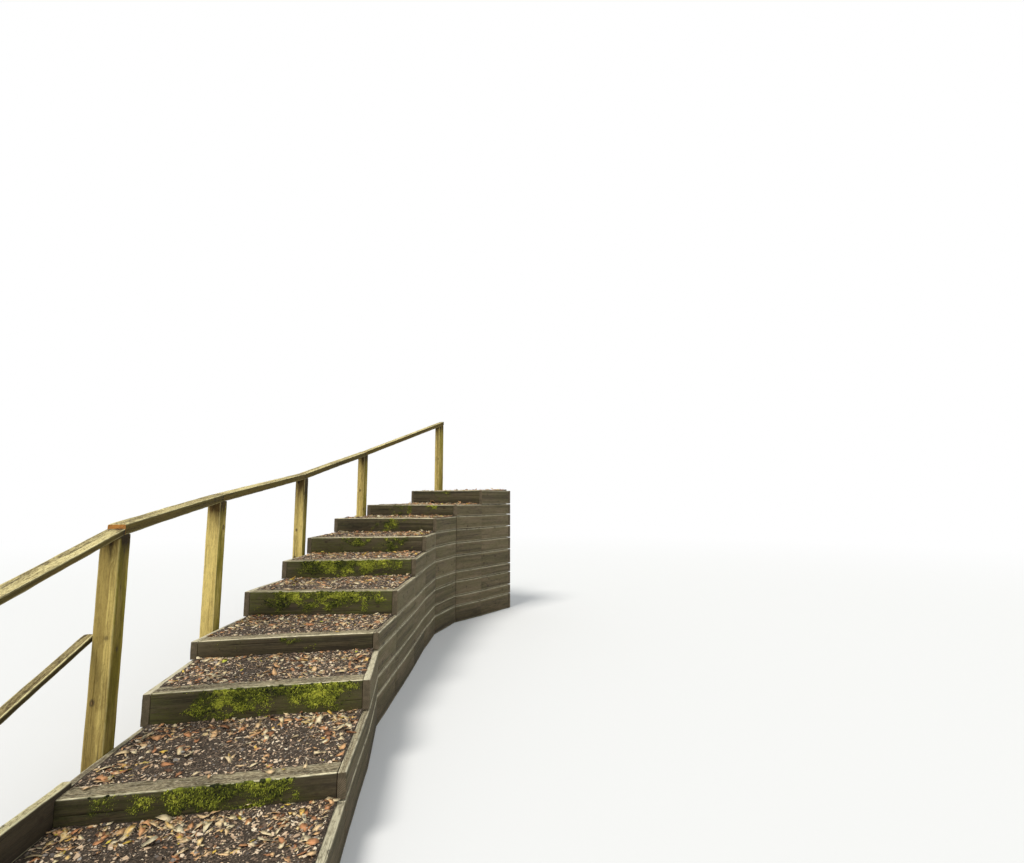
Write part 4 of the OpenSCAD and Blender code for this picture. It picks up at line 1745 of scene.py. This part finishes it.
def twigs(rng: np.random.Generator, places: np.ndarray) -> Shape:
    """Twigs: four-sided tubes that taper along a gentle bend, y = bend x^2.

    Args:
        rng: random numbers.
        places: where each lies, shape (n, 3).

    Returns:
        The twigs as one shape.
    """
    count, rows, sides = len(places), 6, 4
    length = rng.uniform(0.04, 0.15, (count, 1))
    x = np.linspace(-0.5, 0.5, rows) * length
    y = rng.normal(0, 1.6, (count, 1)) * x ** 2 + rng.normal(0, 0.0012, (count, rows))
    z = 0.003 + rng.normal(0, 0.0012, (count, rows))
    thick = rng.uniform(0.0009, 0.0024, (count, 1)) * np.linspace(1.15, 0.55, rows)
    angle = np.arange(sides) * FULL_TURN / sides
    local = stacked(x[..., None], y[..., None] + thick[..., None] * np.cos(angle),
                    z[..., None] + thick[..., None] * np.sin(angle)).reshape(count, -1, 3)
    turn, lean = rng.uniform(0, FULL_TURN, count), rng.normal(0, 0.06, count)
    local = turned(local, turn, lean, np.zeros(count))
    index = np.arange(rows * sides).reshape(rows, sides)
    beside = np.roll(index, -1, axis=1)
    wall = np.concatenate([np.stack([index[:-1], beside[:-1], beside[1:]], axis=-1),
                           np.stack([index[:-1], beside[1:], index[1:]], axis=-1)]).reshape(-1, 3)
    first, last = index[0], index[-1]
    caps = np.array([[first[0], first[2], first[1]], [first[0], first[3], first[2]],
                     [last[0], last[1], last[2]], [last[0], last[2], last[3]]])
    return repeated(local, np.concatenate([wall, caps]), places, rng.uniform(0, 1, count), True)


@dataclass
class Treads:
    """The gravel treads with their litter, and the litter on the sleepers' tops.

    The counts are those of one tread or of one sleeper.
    """

    palette: Palette
    leaf_count: int = 410
    flake_count: int = 2000
    stone_count: int = 170
    twig_count: int = 26
    riser_leaves: int = 8
    riser_flakes: int = 110

    def build(self, sleepers: Sleepers) -> None:
        """Makes every crust with its stones, leaves, flakes and twigs.

        Args:
            sleepers: the risers, whose tops carry some litter too.
        """
        for step in range(1, STEPS + 1):
            node = f"tread_{step:02d}"
            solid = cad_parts[node]
            solid.data.materials.clear()
            solid.data.materials.append(self.palette["soil"])
            tread, riser = Tread(step), sleepers.frames[step]
            rng = np.random.default_rng(600 + step)
            self.lay("soil", step, tread.crust(), "soil")
            places = self.scattered(tread, rng, self.stone_count, 0.55)
            self.lay("stones", step, stones(rng, places), "stone")
            places = np.concatenate([self.scattered(tread, rng, self.flake_count, 0.5),
                                     self.on_riser(riser, rng, self.riser_flakes, 0.35)])
            self.lay("flakes", step, flakes(rng, places), "chip")
            places = np.concatenate([self.scattered(tread, rng, self.leaf_count, 0.12),
                                     self.on_riser(riser, rng, self.riser_leaves, 0.8)])
            self.lay("leaves", step, leaves(rng, places), "leaf")
            places = self.scattered(tread, rng, self.twig_count, 0.3)
            self.lay("twigs", step, twigs(rng, places), "twig")

    def lay(self, kind: str, step: int, shape: Shape, finish: str) -> None:
        """Makes one kind of ground cover of one tread a piece."""
        make_piece(f"{kind}_{step:02d}", shape, [self.palette[finish]], "compacted_gravel")

    def scattered(self, tread: Tread, rng: np.random.Generator, count: int,
                  least: float) -> np.ndarray:
        """Places on a tread, crowded at its back and sides and in drifts.

        A place stays with the share least + e^-(d / 16 cm) from the back + e^-(d / 12 cm) from a
        side, plus a noise of drifts.

        Args:
            tread: the tread.
            rng: random numbers.
            count: number of places.
            least: share that stays in the middle of the tread.

        Returns:
            Points on the crust.
        """
        a, b = rng.uniform(0.01, 0.99, (2, 8 * count))
        from_back, from_side = (1 - b) * tread.size[1], np.minimum(a, 1 - a) * tread.size[0]
        drift = noise(stacked(a * 7, b * 5, float(tread.step)), 95, 2)
        share = least + 0.75 * np.exp(-from_back / 0.16) + 0.4 * np.exp(-from_side / 0.12) + 0.3 * drift
        kept = np.flatnonzero(share > rng.uniform(0, 1, len(a)))[:count]
        return tread.place(a[kept], b[kept])

    def on_riser(self, frame: TimberFrame, rng: np.random.Generator, count: int,
                 reach: float) -> np.ndarray:
        """Places on a sleeper's top, most of them near its back.

        Args:
            frame: the sleeper's frame.
            rng: random numbers.
            count: number of places.
            reach: share of its width, from the back, that they reach.

        Returns:
            Points just above the top.
        """
        across = rng.uniform(-0.92, 0.92, count) * frame.half_run
        forward = 2 * reach * rng.beta(1.0, 2.4, count) - 0.93
        return frame.place(stacked(forward * frame.half[0], frame.half[1] + 0.001), across)


@dataclass
class Studio:
    """Camera, lamps, world and floor.

    The camera stands where the photograph was taken from: its place, its pitch in degrees and its
    focal length in pixels of the photograph's width come from a fit to the posts and rails.
    """

    place: Triple = (1.4254, -2.1421, 1.757)
    pitch: float = 6.77
    focal_px: float = 551.3
    image_px: int = 1024
    sensor: float = 36.0
    floor_half: float = 60.0

    def build(self) -> None:
        """Sets the whole studio up."""
        self.camera()
        self.lamp("soft_key", (-3.2, -4.0, 7.0), 2.3, 22.0, (1.0, 0.97, 0.92))
        self.lamp("soft_fill", (5.0, -3.0, 4.0), 0.75, 60.0, (0.94, 0.97, 1.0))
        self.world()
        self.floor()
        bpy.context.scene.view_settings.view_transform = "Standard"

    def camera(self) -> None:
        """A level camera pitched up a little, with the photograph's angle of view."""
        data = bpy.data.cameras.new("camera")
        data.sensor_fit = "HORIZONTAL"
        data.sensor_width = self.sensor
        data.lens = self.sensor * self.focal_px / self.image_px
        data.clip_end = 200.0
        camera = bpy.data.objects.new("camera", data)
        camera.location = self.place
        camera.rotation_euler = (math.radians(90.0 + self.pitch), 0.0, 0.0)
        bpy.context.scene.collection.objects.link(camera)
        bpy.context.scene.camera = camera

    def lamp(self, name: str, come_from: Triple, strength: float, softness: float,
             colour: Triple) -> None:
        """A broad sun that shines from a point towards the origin.

        Args:
            name: name of the lamp.
            come_from: the point.
            strength: its strength.
            softness: the angle that it spans in the sky, in degrees.
            colour: colour of its light.
        """
        data = bpy.data.lights.new(name, "SUN")
        data.energy, data.angle, data.color = strength, math.radians(softness), colour
        lamp = bpy.data.objects.new(name, data)
        x, y, z = come_from
        lamp.rotation_euler = (math.atan2(math.hypot(x, y), z), 0.0, math.atan2(x, -y))
        lamp.location = come_from
        bpy.context.scene.collection.objects.link(lamp)

    def world(self) -> None:
        """Even light from all round, and white behind the part."""
        world = bpy.data.worlds.new("studio")
        world.use_nodes = True
        bpy.context.scene.world = world
        nodes = Nodes(world.node_tree)
        light = nodes.add("Background", {"Color": (0.93, 0.97, 1.0), "Strength": 0.5})
        white = nodes.add("Background", {"Color": (1.0, 1.0, 1.0), "Strength": 1.0})
        mixed = nodes.add("MixShader", {0: self.seen(nodes), 1: light.outputs[0],
                                        2: white.outputs[0]})
        nodes.add("OutputWorld", {"Surface": mixed.outputs[0]})

    def seen(self, nodes: Nodes) -> object:
        """1 for rays of the camera, mirrors and glass."""
        rays = nodes.add("LightPath").outputs
        either = nodes.math("MAXIMUM", rays["Is Camera Ray"], rays["Is Glossy Ray"])
        return nodes.math("MAXIMUM", either, rays["Is Transmission Ray"])

    def floor(self) -> None:
        """A pale floor that turns white far out."""
        material = bpy.data.materials.new("pale_floor")
        material.use_nodes = True
        nodes = Nodes(material.node_tree)
        place = nodes.add("TexCoord").outputs["Object"]
        far = nodes.times(nodes.between(nodes.length(place), 9.0, 26.0), self.seen(nodes))
        pale = nodes.add("BsdfDiffuse", {"Color": (0.80, 0.80, 0.79)})
        white = nodes.add("Emission", {"Color": (1.0, 1.0, 1.0), "Strength": 1.0})
        mixed = nodes.add("MixShader", {0: far, 1: pale.outputs[0], 2: white.outputs[0]})
        nodes.add("OutputMaterial", {"Surface": mixed.outputs[0]})
        mesh = bpy.data.meshes.new("floor")
        half = self.floor_half
        mesh.from_pydata([(-half, -half, 0), (half, -half, 0), (half, half, 0), (-half, half, 0)], [],
                         [(0, 1, 2, 3)])
        mesh.materials.append(material)
        floor = bpy.data.objects.new("floor", mesh)
        bpy.context.scene.collection.objects.link(floor)


def main() -> None:
    """Builds the studio and the dressed part, piece by piece."""
    logging.basicConfig(level=logging.INFO, format="%(name)s %(message)s")
    Studio().build()
    make_wood_grain()
    make_weather()
    palette = {key: finish.material() for key, finish in FINISHES.items()}
    sleepers = Sleepers(palette)
    sleepers.build()
    SideBoards(palette).build()
    Handrail(palette).build()
    Treads(palette).build(sleepers)


if __name__ == "__main__":
    main()
